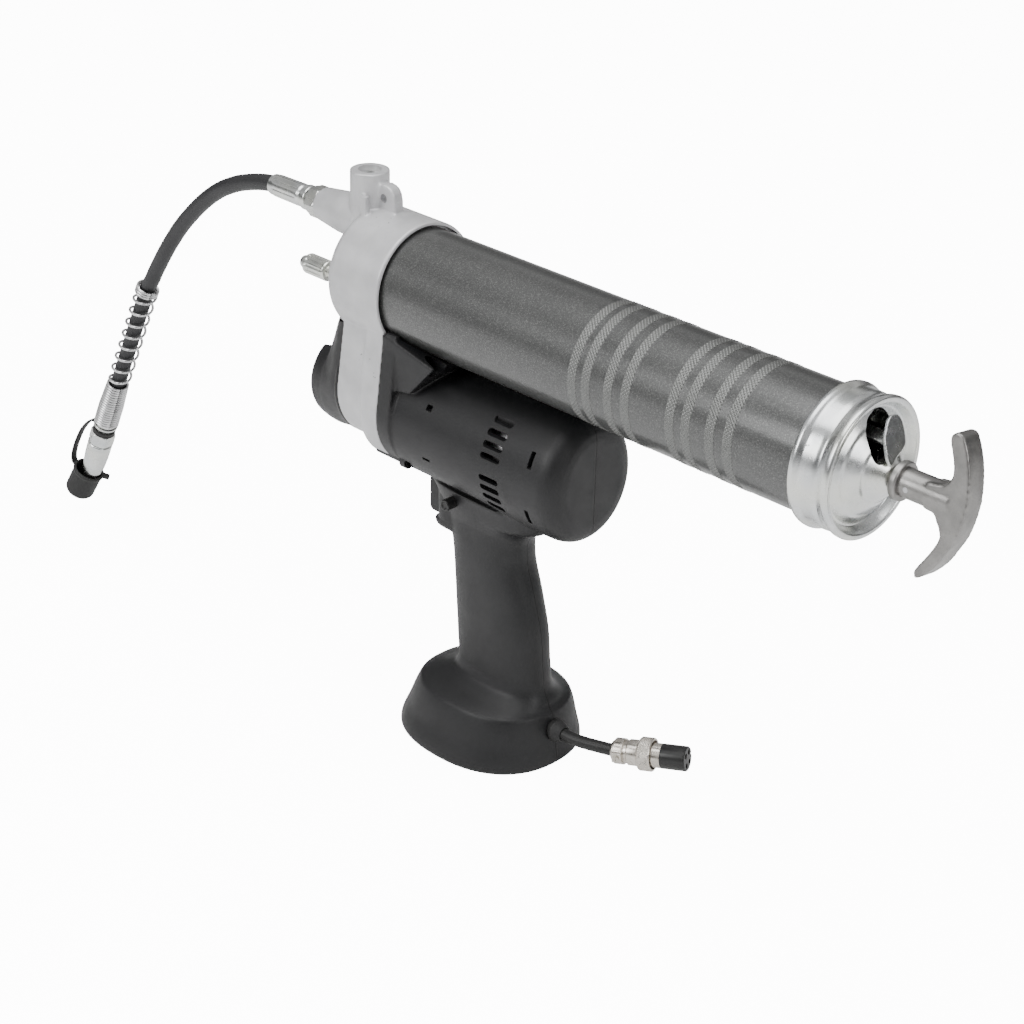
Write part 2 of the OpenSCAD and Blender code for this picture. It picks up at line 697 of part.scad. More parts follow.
module motor_can() {
    color([0.5, 0.5, 0.52])
    difference() {
        xcyl(-40, 14, motor_r, z = motor_z);
        xcyl(-41, 12, motor_r - 1.5, z = motor_z);
        xcyl(10, 16, 5.5, z = motor_z);
        for (a = [0:90:270]) {
            translate([0, 0, motor_z]) rotate([a + 45, 0, 0]) box(9, 16, -3, 3, 10, 17);
        }
    }
}

module motor_magnets() {
    color([0.24, 0.24, 0.25])
    for (a = [0, 180]) {
        translate([0, 0, motor_z]) rotate([a, 0, 0])
        difference() {
            xcyl(-26, 8, motor_r - 1.5);
            xcyl(-27, 9, 17);
            box(-28, 10, -30, 30, -30, 8);
        }
    }
}

module motor_end_bell() {
    color([0.12, 0.12, 0.13])
    difference() {
        union() {
            xcyl(-44, -40, motor_r, z = motor_z);
            xcyl(-50, -44, 9, z = motor_z);
        }
        xcyl(-49, -38, 5.5, z = motor_z);
        xcyl(-60, -38, 2.6, z = motor_z);
    }
}

module bearings() {
    color([0.82, 0.82, 0.84]) {
        motor_bearing(-48.9, 4, 5.5, 2.55);
        motor_bearing(12, 4, 5.5, 2.55);
        motor_bearing(50, 6, 9.8, 5.04);
        motor_bearing(75.4, 6, 11, 5.04);
    }
}

module motor_bearing(x, w, ro, ri) {
    difference() {
        xcyl(x, x + w, ro, z = motor_z);
        xcyl(x - 1, x + w + 1, ri, z = motor_z);
    }
}

module brushes() {
    color([0.2, 0.2, 0.22])
    for (a = [0, 180]) {
        translate([0, 0, motor_z]) rotate([a, 0, 0]) box(-38, -32, -2.2, 2.2, 7.1, 20.2);
    }
}

module armature() {
    color([0.6, 0.42, 0.25]) {
        xcyl(-56, 33, 2.5, z = motor_z);
        xcyl(-39.6, -30.4, 7, z = motor_z);
        translate([-24, 0, motor_z]) rotate([0, 90, 0]) linear_extrude(height = 30)
        difference() {
            circle(r = 16.5);
            for (a = [0:36:324]) {
                rotate(a) translate([9, -1.2]) square([10, 2.4]);
            }
        }
        xcyl(-28, 10, 8.6, z = motor_z);
        translate([17.4, 0, motor_z]) rotate([0, 90, 0]) rotate([0, 0, 90]) linear_extrude(height = 15.6)
            gear_2d(sun_teeth, 0);
    }
}

module cooling_fan() {
    color([0.7, 0.7, 0.7])
    union() {
        difference() {
            union() {
                xcyl(-57, -51, 4.2, z = motor_z);
                xcyl(-53, -51.6, 16, z = motor_z);
                for (a = [0:30:330]) {
                    translate([0, 0, motor_z]) rotate([a, 0, 0]) box(-58, -52.6, -0.5, 0.5, 3.6, 18);
                }
            }
            xcyl(-56, -50, 2.5, z = motor_z);
        }
    }
}

module gear_case() {
    color([0.55, 0.56, 0.57])
    difference() {
        union() {
            xcyl(16.2, 58, 23, z = motor_z);
            xcyl(40, 43.5, 23.2, z = motor_z);
        }
        xcyl(17.8, 44, 21.6, z = motor_z);
        xcyl(15, 20, 6, z = motor_z);
        xcyl(43, 51, 6, z = motor_z);
        xcyl(50, 60, 9.8, z = motor_z);
    }
}

module ring_gear() {
    color([0.62, 0.62, 0.6])
    translate([18.4, 0, motor_z]) rotate([0, 90, 0]) rotate([0, 0, 90]) linear_extrude(height = 14)
    difference() {
        circle(r = 21.58);
        ring_teeth_2d(ring_teeth);
    }
}

module planet(turn) {
    color([0.7, 0.68, 0.6])
    translate([0, 0, motor_z]) rotate([turn, 0, 0])
    translate([19, planet_orbit, 0]) rotate([0, 90, 0]) rotate([0, 0, 90])
    difference() {
        linear_extrude(height = 12.5) gear_2d(planet_teeth, 180 / planet_teeth);
        translate([0, 0, -1]) cylinder(h = 16, r = 2.05);
    }
}
module planet_1() { planet(0); }
module planet_2() { planet(120); }
module planet_3() { planet(240); }

// carrier disc with its three pins and the output shaft
module output_carrier() {
    color([0.6, 0.6, 0.62]) {
        xcyl(33.4, 39, 19, z = motor_z);
        xcyl(39, 82.6, 5, z = motor_z);
        for (a = [0, 120, 240]) {
            translate([0, 0, motor_z]) rotate([a, 0, 0]) xcyl(19.4, 34, 2, y = planet_orbit);
        }
    }
}

module crank() {
    color([0.52, 0.52, 0.54]) {
        xcyl(82.6, 85.6, 8.6, z = motor_z);
        xcyl(85.6, 93.4, 2.6, y = crank_throw, z = motor_z);
    }
}

module crank_roller() {
    color([0.78, 0.78, 0.8])
    difference() {
        xcyl(86.4, 92.4, 4.3, y = crank_throw, z = motor_z);
        xcyl(85, 94, 2.65, y = crank_throw, z = motor_z);
    }
}

/* ---- trigger group ---- */

trigger_outline = [[26, 112.4], [33, 112], [35.8, 112.2], [37.4, 113.4], [38.6, 117], [39.4, 121],
    [40.6, 126], [41, 129], [39.8, 130.6], [36, 131], [26, 131]];
module trigger() {
    color([0.13, 0.13, 0.14])
    difference() {
        intersection() {
            xz_plate(trigger_outline, -7.6, 7.6);
            union() {
                zcyl(108, 135, 9.4, x = 31.6);
                box(25, 31.6, -7.6, 7.6, 108, 135);
            }
        }
        box(20, 33, -2.4, 2.4, 118.6, 123.4);
    }
}

module trigger_spring() {
    color([0.7, 0.7, 0.7])
    difference() {
        xcyl(15.2, 26, 2.2, z = 115.4);
        xcyl(14, 28, 1.6, z = 115.4);
    }
}

module switch_body() {
    color([0.2, 0.2, 0.21])
    union() {
        box(-8, 15.2, -8, 8, 104.5, 123.2);
        box(15.2, 26, -1.8, 1.8, 119.2, 122.8);
    }
}

module lock_button() {
    color([0.12, 0.12, 0.12])
    union() {
        ycyl(10.2, 21.5, 2.85, x = 13, z = 127.6);
        ycyl(8.6, 10.2, 3.6, x = 13, z = 127.6);
    }
}

/* ---- power pigtail ---- */

module cable_grommet() {
    color([0.09, 0.09, 0.09])
    difference() {
        xrev([[-51, 0], [-51, 3.9], [-48.6, 4.8], [-46.3, 5.6], [-45.3, 5.6], [-45.3, 4.95],
            [-39.4, 4.95], [-39.4, 6.4], [-37, 6.4], [-37, 0]], z = 19.5);
        xcyl(-60, -30, cable_r, z = 19.5);
    }
}

module power_cable() {
    color([0.08, 0.08, 0.08]) tube(cable_path, cable_r, 12, [0, 0, 1]);
}

module plug_shell() {
    color([0.72, 0.7, 0.66])
    in_frame(plug_at, plug_tilt, plug_turn)
    difference() {
        zrev([[0, 0], [0, 4.6], [1, 5.2], [4.4, 5.2], [5.2, 5.6], [8.4, 5.6], [8.8, 6.4], [13.8, 6.4],
            [13.8, 6], [25.4, 6], [25.4, 0]]);
        translate([0, 0, -1]) cylinder(h = 5, r = cable_r + 0.2);
        translate([0, 0, 21]) cylinder(h = 5, r = 5.4);
    }
}

module plug_clamp() {
    color([0.76, 0.74, 0.7])
    in_frame(plug_at, plug_tilt, plug_turn)
    difference() {
        union() {
            translate([-2.6, -7.2, 1.6]) cube([5.2, 14.4, 5]);
            translate([0, 0, 1.6]) cylinder(h = 5, r = 6.4);
        }
        translate([0, 0, 0]) cylinder(h = 8, r = 5.6);
    }
}

module coupling_ring() {
    color([0.74, 0.72, 0.68])
    in_frame(plug_at, plug_tilt, plug_turn)
    difference() {
        zrev([[14, 0], [14, 7.4], [15, 8.3], [20.4, 8.3], [21, 7.9], [21, 0]]);
        translate([0, 0, 13]) cylinder(h = 9, r = 6.05);
        translate([0, 0, 17]) cylinder(h = 9, r = 7);
    }
}

plug_pins = [[2.6, 2.2], [-2.6, 2.2], [2.6, -2.2], [-2.6, -2.2]];
module plug_insert() {
    color([0.1, 0.1, 0.1])
    in_frame(plug_at, plug_tilt, plug_turn)
    difference() {
        union() {
            translate([0, 0, 21]) cylinder(h = 4.4, r = 5.4);
            translate([0, 0, 25.4]) cylinder(h = 12.6, r = 6.1);
        }
        for (p = plug_pins) {
            translate([p[0], p[1], 30]) cylinder(h = 10, r = 1.2);
        }
        translate([-0.8, 4.9, 28]) cube([1.6, 3, 12]);
    }
}

/* ---- grease hose ---- */

module hose() {
    color([0.15, 0.15, 0.16]) tube(hose_path, hose_r, 12, [0, 1, 0]);
}

// wire guard: close turns at the top, open turns, then close turns over the sleeve
top_turns = 3;
open_turns = 8;
end_turns = 17;
close_step = 0.19;
open_step = 0.846;
end_step = 0.205;
function clamp01(v) = min(1, max(0, v));
function guard_s(k) = k < top_turns ? k * close_step
    : k < top_turns + open_turns ? top_turns * close_step + (k - top_turns) * open_step
    : top_turns * close_step + open_turns * open_step + (k - top_turns - open_turns) * end_step;
guard_seg = 12;
module spring_guard() {
    n = (top_turns + open_turns + end_turns) * guard_seg;
    color([0.78, 0.78, 0.78])
    loft([for (i = [0:n])
        let (k = i / guard_seg, s = guard_from + guard_s(k),
            rr = 5.85 - 0.35 * clamp01(k - 10) + 0.9 * clamp01((k - 11) / 10),
            c = guard_point(guard_path, s, 30 * i, rr),
            t = path_dir(guard_path, s),
            q = unit(c - path_at(guard_path, s)))
        [for (j = [0:4]) c + guard_wire * (cos(72 * j) * q + sin(72 * j) * t)]]);
}

module hose_sleeve() {
    color(zinc_color)
    in_frame(coupler_at, coupler_tilt, coupler_turn)
    difference() {
        zrev([[0.5, 0], [0.5, 4.8], [8.4, 5.4], [9.2, 5.6], [9.4, 6.9], [10.4, 6.9], [12.4, 5.2], [12.4, 0]]);
        translate([0, 0, -1]) cylinder(h = 14, r = 2);
    }
}

module coupler_body() {
    color(zinc_color)
    in_frame(coupler_at, coupler_tilt, coupler_turn)
    difference() {
        union() {
            translate([0, 0, 12.4]) cylinder(h = 3, r = 5.2);
            translate([0, 0, 15.4]) cylinder(h = 7.6, r = 7.4, $fn = 6);
            translate([0, 0, 23]) cylinder(h = 23, r = 5.4);
            translate([0, 0, 46]) cylinder(h = 8, r = 4.4);
        }
        translate([0, 0, 10]) cylinder(h = 40, r = 2);
        translate([0, 0, 48]) cylinder(h = 8, r = 3.4);
    }
}

module coupler_sleeve() {
    color(zinc_color)
    in_frame(coupler_at, coupler_tilt, coupler_turn)
    difference() {
        zrev([[23.4, 0], [23.4, 6.6], [24, 7.1], [34, 6.9], [41, 6.4], [46, 5.7], [46, 0]]);
        translate([0, 0, 20]) cylinder(h = 30, r = 5.45);
    }
}

module coupler_jaws() {
    color([0.5, 0.5, 0.5])
    in_frame(coupler_at, coupler_tilt, coupler_turn)
    for (a = [0, 120, 240]) {
        rotate([0, 0, a])
        intersection() {
            difference() {
                translate([0, 0, 48.4]) cylinder(h = 6.2, r = 3.35);
                translate([0, 0, 45]) cylinder(h = 12, r = 2.2);
            }
            translate([0.6, -1.5, 45]) cube([6, 3, 12]);
        }
    }
}

module dust_cap() {
    color([0.1, 0.1, 0.1])
    in_frame(dust_cap_at, dust_cap_tilt, dust_cap_turn)
    difference() {
        union() {
            zrev([[0, 0], [0, 9.2], [1.6, 9.2], [2.2, 8.6], [15.8, 8.5], [17.6, 7.4], [18.3, 5.6], [18.3, 0]]);
            rotate([0, 0, -32]) translate([8.6, -1.5, 0]) cube([3.8, 3, 2.4]);
        }
        translate([0, 0, -1]) cylinder(h = 16.4, r = 7.8);
    }
}

// ring round the coupler, with the flat strap that holds the dust cap
strap_line = [[6.4, 13.7], [9.3, 15], [12.3, 20], [14.6, 27], [15.7, 34.5], [16.1, 41.5], [15.7, 47.5],
    [14.2, 51], [11.6, 51.8]];
strap_last = len(strap_line) - 1;
function strap_out(i) =
    let (t = strap_line[min(i + 1, strap_last)] - strap_line[max(i - 1, 0)])
    strap_line[i] + 1.2 / norm(t) * [t[1], -t[0]];
module cap_strap() {
    outline = concat(strap_line, [for (i = [strap_last:-1:0]) strap_out(i)]);
    color([0.1, 0.1, 0.1])
    in_frame(coupler_at, coupler_tilt, coupler_turn) {
        difference() {
            translate([0, 0, 12.6]) cylinder(h = 2.6, r = 6.5);
            translate([0, 0, 12]) cylinder(h = 4, r = 5.2);
        }
        mirror([1, 0, 0]) xz_plate(outline, -2, 2);
    }
}

housing_left();
housing_right();
housing_screws();
nose_cap();
head_casting();
head_screws();
barrel_tube();
barrel_gasket();
end_cap();
latch_plate();
latch_spring();
follower_rod();
t_handle();
handle_pin();
follower_cup();
follower_disc();
follower_spring();
top_plug();
pump_plunger();
check_ball();
check_spring();
outlet_adapter();
hose_ferrule();
bleeder_body();
bleeder_spring();
bleeder_button();
motor_can();
motor_magnets();
motor_end_bell();
bearings();
brushes();
armature();
cooling_fan();
gear_case();
ring_gear();
planet_1();
planet_2();
planet_3();
output_carrier();
crank();
crank_roller();
trigger();
trigger_spring();
switch_body();
lock_button();
cable_grommet();
power_cable();
plug_shell();
plug_clamp();
coupling_ring();
plug_insert();
hose();
spring_guard();
hose_sleeve();
coupler_body();
coupler_sleeve();
coupler_jaws();
dust_cap();
cap_strap();
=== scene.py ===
"""Powered grease gun: the looks of each piece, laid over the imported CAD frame. Pieces are worked out in millimetres."""

import bmesh
import bpy
import math
from mathutils import Matrix, Vector
import json


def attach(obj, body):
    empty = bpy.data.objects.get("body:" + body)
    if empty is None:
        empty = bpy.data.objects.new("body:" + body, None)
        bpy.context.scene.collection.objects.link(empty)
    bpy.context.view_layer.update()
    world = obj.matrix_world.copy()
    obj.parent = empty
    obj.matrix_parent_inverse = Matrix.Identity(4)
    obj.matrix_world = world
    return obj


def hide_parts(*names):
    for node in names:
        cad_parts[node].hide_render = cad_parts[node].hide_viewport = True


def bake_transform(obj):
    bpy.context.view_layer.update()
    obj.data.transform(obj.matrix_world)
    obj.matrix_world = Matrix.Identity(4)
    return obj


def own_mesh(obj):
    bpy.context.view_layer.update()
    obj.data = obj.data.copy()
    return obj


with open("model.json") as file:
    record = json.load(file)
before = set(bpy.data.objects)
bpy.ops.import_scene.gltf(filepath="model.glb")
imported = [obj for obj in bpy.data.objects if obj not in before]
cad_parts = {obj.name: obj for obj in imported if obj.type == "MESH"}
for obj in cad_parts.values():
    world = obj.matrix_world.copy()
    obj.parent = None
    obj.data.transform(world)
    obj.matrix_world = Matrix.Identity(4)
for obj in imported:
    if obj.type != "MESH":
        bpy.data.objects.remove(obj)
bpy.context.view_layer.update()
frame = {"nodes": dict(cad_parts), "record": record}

MM = 0.001
TAU = 2 * math.pi
nodes = frame["nodes"]


# ---------------------------------------------------------------- camera

CAMERA_AT = Vector((-0.7209, 0.7266, 0.6451))
CAMERA_AZIMUTH = 224.317
CAMERA_ELEVATION = 27.070
CAMERA_ROLL = 1.523
CAMERA_LENS = 84.11


def make_camera():
    """A long lens above the grip's rear left side."""
    az = math.radians(CAMERA_AZIMUTH)
    el = math.radians(CAMERA_ELEVATION)
    roll = math.radians(CAMERA_ROLL)
    back = Vector((math.sin(az) * math.cos(el), -math.cos(az) * math.cos(el), math.sin(el)))
    right = Vector((0, 0, 1)).cross(back).normalized()
    up = back.cross(right)
    r = right * math.cos(roll) + up * math.sin(roll)
    u = up * math.cos(roll) - right * math.sin(roll)
    turned = Matrix((r, u, back)).transposed().to_4x4()
    data = bpy.data.cameras.new("camera")
    data.lens = CAMERA_LENS
    data.sensor_width = 36
    data.clip_start = 0.05
    data.clip_end = 20
    camera = bpy.data.objects.new("camera", data)
    bpy.context.scene.collection.objects.link(camera)
    camera.matrix_world = Matrix.Translation(CAMERA_AT) @ turned
    bpy.context.scene.camera = camera


# ---------------------------------------------------------------- mesh tools

def to_object(name, bm, smooth_angle=35):
    """Turns a mesh in millimetres into a piece in metres, smooth except at sharp edges."""
    mesh = bpy.data.meshes.new(name)
    bm.to_mesh(mesh)
    bm.free()
    mesh.transform(Matrix.Scale(MM, 4))
    mesh.shade_smooth()
    mesh.set_sharp_from_angle(angle=math.radians(smooth_angle))
    piece = bpy.data.objects.new(name, mesh)
    bpy.context.scene.collection.objects.link(piece)
    return piece


def loft(bm, rings, capped=True):
    """Joins rings of the same number of points into a skin with flat ends."""
    rows = [[bm.verts.new(p) for p in ring] for ring in rings]
    n = len(rows[0])
    for low, high in zip(rows, rows[1:]):
        for j in range(n):
            k = (j + 1) % n
            bm.faces.new((low[j], low[k], high[k], high[j]))
    if capped:
        bm.faces.new(rows[0][::-1])
        bm.faces.new(rows[-1])
    return rows


def outward(bm):
    bmesh.ops.recalc_face_normals(bm, faces=bm.faces)


def along_x(y=0, z=0):
    """Local z runs along +X through y, z."""
    return Matrix.Translation((0, y, z)) @ Matrix.Rotation(math.pi / 2, 4, "Y")


def along_y(x=0, z=0):
    """Local z runs along +Y through x, z."""
    return Matrix.Translation((x, 0, z)) @ Matrix.Rotation(-math.pi / 2, 4, "X")


def along_z(x=0, y=0):
    return Matrix.Translation((x, y, 0))


def tilted(at, tilt, turn):
    """Local z leans by tilt from upright and then turns about the vertical."""
    lean = Matrix.Rotation(math.radians(tilt), 4, "Y")
    return Matrix.Translation(at) @ Matrix.Rotation(math.radians(turn), 4, "Z") @ lean


def eased(profile, radius):
    """Rounds the corners of an (axial, radius) profile; ends on the axis stay."""
    out = []
    n = len(profile)
    for i, p in enumerate(profile):
        p = Vector(p)
        a = Vector(profile[i - 1]) if i else None
        b = Vector(profile[i + 1]) if i < n - 1 else None
        if a is None or b is None or p.y < 1e-6:
            out.append(tuple(p))
            continue
        da = a - p
        db = b - p
        cut = min(radius, 0.42 * da.length, 0.42 * db.length)
        turn = da.angle(db, math.pi)
        if cut < 1e-4 or turn > math.radians(172):
            out.append(tuple(p))
            continue
        start = p + da.normalized() * cut
        end = p + db.normalized() * cut
        for k in range(5):
            t = k / 4
            q = start * (1 - t) ** 2 + p * 2 * t * (1 - t) + end * t ** 2
            out.append(tuple(q))
    return out


def refined(profile, step):
    """Adds points so that no stretch of the profile is longer than step."""
    out = [profile[0]]
    for p, q in zip(profile, profile[1:]):
        parts = max(1, math.ceil(math.dist(p, q) / step))
        for k in range(1, parts + 1):
            out.append((p[0] + (q[0] - p[0]) * k / parts, p[1] + (q[1] - p[1]) * k / parts))
    return out


def revolve(bm, profile, matrix, segments=96, shape=None):
    """Turns an (axial, radius) profile about local z. shape(angle, axial, radius) may change the radius."""
    rows = []
    for a, r in profile:
        if r < 1e-6:
            rows.append([bm.verts.new(matrix @ Vector((0, 0, a)))])
            continue
        row = []
        for j in range(segments):
            t = TAU * j / segments
            rr = shape(t, a, r) if shape else r
            row.append(bm.verts.new(matrix @ Vector((rr * math.cos(t), rr * math.sin(t), a))))
        rows.append(row)
    for low, high in zip(rows, rows[1:]):
        for j in range(segments):
            k = (j + 1) % segments
            if len(low) == 1 and len(high) == 1:
                continue
            if len(low) == 1:
                bm.faces.new((low[0], high[k], high[j]))
            elif len(high) == 1:
                bm.faces.new((low[j], low[k], high[0]))
            else:
                bm.faces.new((low[j], low[k], high[k], high[j]))
    return rows


def turned_piece(name, profile, matrix, radius=0.3, segments=96, shape=None, step=None, ring=False):
    """A lathe-turned piece with eased edges. A ring's profile closes on itself."""
    bm = bmesh.new()
    if ring:
        profile = list(profile)
        n = len(profile)
        closed = eased(profile[-1:] + profile + profile[:1], radius)
        points = closed[1:-1]
        if step:
            points = refined(points + points[:1], step)[:-1]
        rows = revolve(bm, points, matrix, segments, shape)
        for j in range(segments):
            k = (j + 1) % segments
            bm.faces.new((rows[-1][j], rows[-1][k], rows[0][k], rows[0][j]))
    else:
        points = eased(profile, radius)
        if step:
            points = refined(points, step)
        revolve(bm, points, matrix, segments, shape)
    outward(bm)
    return to_object(name, bm)


def add_cylinder(bm, matrix, a0, a1, r, segments=96):
    revolve(bm, [(a0, 0), (a0, r), (a1, r), (a1, 0)], matrix, segments)


def add_box(bm, x0, x1, y0, y1, z0, z1, matrix=Matrix()):
    made = bmesh.ops.create_cube(bm, size=1)
    place = Matrix.Translation(((x0 + x1) / 2, (y0 + y1) / 2, (z0 + z1) / 2))
    size = Matrix.Diagonal((x1 - x0, y1 - y0, z1 - z0, 1))
    bmesh.ops.transform(bm, matrix=matrix @ place @ size, verts=made["verts"])


def add_plate(bm, outline, low, high, matrix):
    """A flat plate: outline in local x, y from low to high along local z."""
    rings = [[matrix @ Vector((p[0], p[1], h)) for p in outline] for h in (low, high)]
    loft(bm, rings)


def xz_plane():
    """Local x, y, z lie along X, Z and -Y."""
    return Matrix.Rotation(math.pi / 2, 4, "X")


def yz_plane():
    """Local x, y, z lie along Y, Z and X."""
    return Matrix(((0, 0, 1, 0), (1, 0, 0, 0), (0, 1, 0, 0), (0, 0, 0, 1)))


def scratch(bm, name="scratch"):
    """A working object in millimetres."""
    outward(bm)
    mesh = bpy.data.meshes.new(name)
    bm.to_mesh(mesh)
    bm.free()
    thing = bpy.data.objects.new(name, mesh)
    bpy.context.scene.collection.objects.link(thing)
    return thing


def baked(thing):
    """Applies the modifiers of a working object."""
    bpy.context.view_layer.update()
    graph = bpy.context.evaluated_depsgraph_get()
    mesh = bpy.data.meshes.new_from_object(thing.evaluated_get(graph))
    thing.modifiers.clear()
    thing.data = mesh
    return thing


def melted(solids, voxel, smooth):
    """Melts overlapping closed solids into one skin whose inner corners are filleted."""
    thing = scratch(solids)
    skin = thing.modifiers.new("skin", "REMESH")
    skin.mode = "VOXEL"
    skin.voxel_size = voxel
    soft = thing.modifiers.new("soft", "SMOOTH")
    soft.factor = 0.5
    soft.iterations = smooth
    return baked(thing)


def carved(thing, cutters, operation="DIFFERENCE"):
    """Cuts each working mesh out of a working object."""
    for cutter in cutters:
        tool = scratch(cutter, "cutter")
        mod = thing.modifiers.new("cut", "BOOLEAN")
        mod.operation = operation
        mod.solver = "MANIFOLD"
        mod.object = tool
        baked(thing)
        bpy.data.objects.remove(tool)
    return thing


def finished(thing, name, smooth_angle=35):
    """Renames a working object and brings it to metres."""
    mesh = thing.data
    mesh.transform(Matrix.Scale(MM, 4))
    mesh.shade_smooth()
    mesh.set_sharp_from_angle(angle=math.radians(smooth_angle))
    thing.name = name
    mesh.name = name
    return thing


def cylinder_cut(matrix, a0, a1, r, segments=72):
    bm = bmesh.new()
    add_cylinder(bm, matrix, a0, a1, r, segments)
    return bm


def box_cut(x0, x1, y0, y1, z0, z1, matrix=Matrix()):
    bm = bmesh.new()
    add_box(bm, x0, x1, y0, y1, z0, z1, matrix)
    return bm


# ---------------------------------------------------------------- curves

def spline(points, per_stretch):
    """A smooth curve through the points."""
    pts = [Vector(p) for p in points]
    pts = [2 * pts[0] - pts[1]] + pts + [2 * pts[-1] - pts[-2]]
    out = []
    for i in range(1, len(pts) - 2):
        a, b, c, d = pts[i - 1:i + 3]
        for k in range(per_stretch):
            t = k / per_stretch
            out.append(0.5 * (2 * b + (c - a) * t + (2 * a - 5 * b + 4 * c - d) * t ** 2
                              + (3 * b - a - 3 * c + d) * t ** 3))
    out.append(pts[-2])
    return out


def line_length(points):
    return sum((q - p).length for p, q in zip(points, points[1:]))


def directions(points):
    n = len(points)
    return [(points[min(i + 1, n - 1)] - points[max(i - 1, 0)]).normalized() for i in range(n)]


def tube(bm, points, radius, sides, up=Vector((0, 1, 0)), shape=None):
    """Sweeps a circle along points. shape(distance, angle) may change the radius."""
    rings = []
    run = 0
    for i, (p, t) in enumerate(zip(points, directions(points))):
        if i:
            run += (p - points[i - 1]).length
        side = up.cross(t).normalized()
        other = t.cross(side)
        ring = []
        for j in range(sides):
            a = TAU * j / sides
            r = shape(run, a) if shape else radius
            ring.append(p + side * (r * math.cos(a)) + other * (r * math.sin(a)))
        rings.append(ring)
    loft(bm, rings)


def coil(bm, points, coil_radius, wire, turns_at, sides=10, steps=28, up=Vector((0, 1, 0))):
    """A wire wound round a line. turns_at(distance) gives turns per millimetre."""
    total = line_length(points)
    tangents = directions(points)
    marks = [0]
    for p, q in zip(points, points[1:]):
        marks.append(marks[-1] + (q - p).length)

    def at(s):
        i = 0
        while i < len(marks) - 2 and marks[i + 1] < s:
            i += 1
        f = (s - marks[i]) / (marks[i + 1] - marks[i])
        return points[i].lerp(points[i + 1], f), tangents[i].lerp(tangents[i + 1], f).normalized()

    centre = []
    s = 0
    angle = 0
    while s <= total:
        p, t = at(s)
        side = up.cross(t).normalized()
        other = t.cross(side)
        r = coil_radius(s) if callable(coil_radius) else coil_radius
        centre.append(p + r * (math.cos(angle) * side + math.sin(angle) * other))
        angle += TAU / steps
        s += 1 / (steps * turns_at(s))
    rings = []
    for c, t in zip(centre, directions(centre)):
        side = Vector((0.3, 1, 0.2)).cross(t).normalized()
        other = t.cross(side)
        rings.append([c + wire * (math.cos(TAU * j / sides) * side + math.sin(TAU * j / sides) * other)
                      for j in range(sides)])
    loft(bm, rings)


# ---------------------------------------------------------------- materials

def principled(name):
    mat = bpy.data.materials.new(name)
    mat.use_nodes = True
    tree = mat.node_tree
    shader = tree.nodes["Principled BSDF"]
    coords = tree.nodes.new("ShaderNodeTexCoord").outputs["Object"]
    return mat, tree, shader, coords


def noise(tree, coords, scale, detail=4, rough=0.55, stretch=None):
    source = coords
    if stretch:
        mapping = tree.nodes.new("ShaderNodeMapping")
        mapping.inputs["Scale"].default_value = stretch
        tree.links.new(coords, mapping.inputs["Vector"])
        source = mapping.outputs["Vector"]
    node = tree.nodes.new("ShaderNodeTexNoise")
    node.inputs["Scale"].default_value = scale
    node.inputs["Detail"].default_value = detail
    node.inputs["Roughness"].default_value = rough
    tree.links.new(source, node.inputs["Vector"])
    return node.outputs["Fac"]


def cells(tree, coords, scale, feature="F1", output="Distance"):
    node = tree.nodes.new("ShaderNodeTexVoronoi")
    node.feature = feature
    node.inputs["Scale"].default_value = scale
    tree.links.new(coords, node.inputs["Vector"])
    return node.outputs[output]


def ramp(tree, value, stops):
    """stops: (position, grey or colour)."""
    node = tree.nodes.new("ShaderNodeValToRGB")
    elements = node.color_ramp.elements
    while len(elements) < len(stops):
        elements.new(0.5)
    for element, (pos, col) in zip(elements, stops):
        element.position = pos
        element.color = (*col, 1) if isinstance(col, tuple) else (col, col, col, 1)
    tree.links.new(value, node.inputs["Fac"])
    return node.outputs["Color"]


def mixed(tree, factor, a, b, mode="MIX"):
    node = tree.nodes.new("ShaderNodeMix")
    node.data_type = "RGBA"
    node.blend_type = mode
    for value, socket in ((factor, node.inputs[0]), (a, node.inputs[6]), (b, node.inputs[7])):
        if hasattr(value, "is_output"):
            tree.links.new(value, socket)
        elif isinstance(value, tuple):
            socket.default_value = (*value, 1)
        else:
            socket.default_value = value
    return node.outputs[2]


def bumped(tree, shader, layers):
    """layers: (height, strength, distance in millimetres)."""
    normal = None
    for height, strength, distance in layers:
        node = tree.nodes.new("ShaderNodeBump")
        node.inputs["Strength"].default_value = strength
        node.inputs["Distance"].default_value = distance * MM
        tree.links.new(height, node.inputs["Height"])
        if normal:
            tree.links.new(normal, node.inputs["Normal"])
        normal = node.outputs["Normal"]
    tree.links.new(normal, shader.inputs["Normal"])


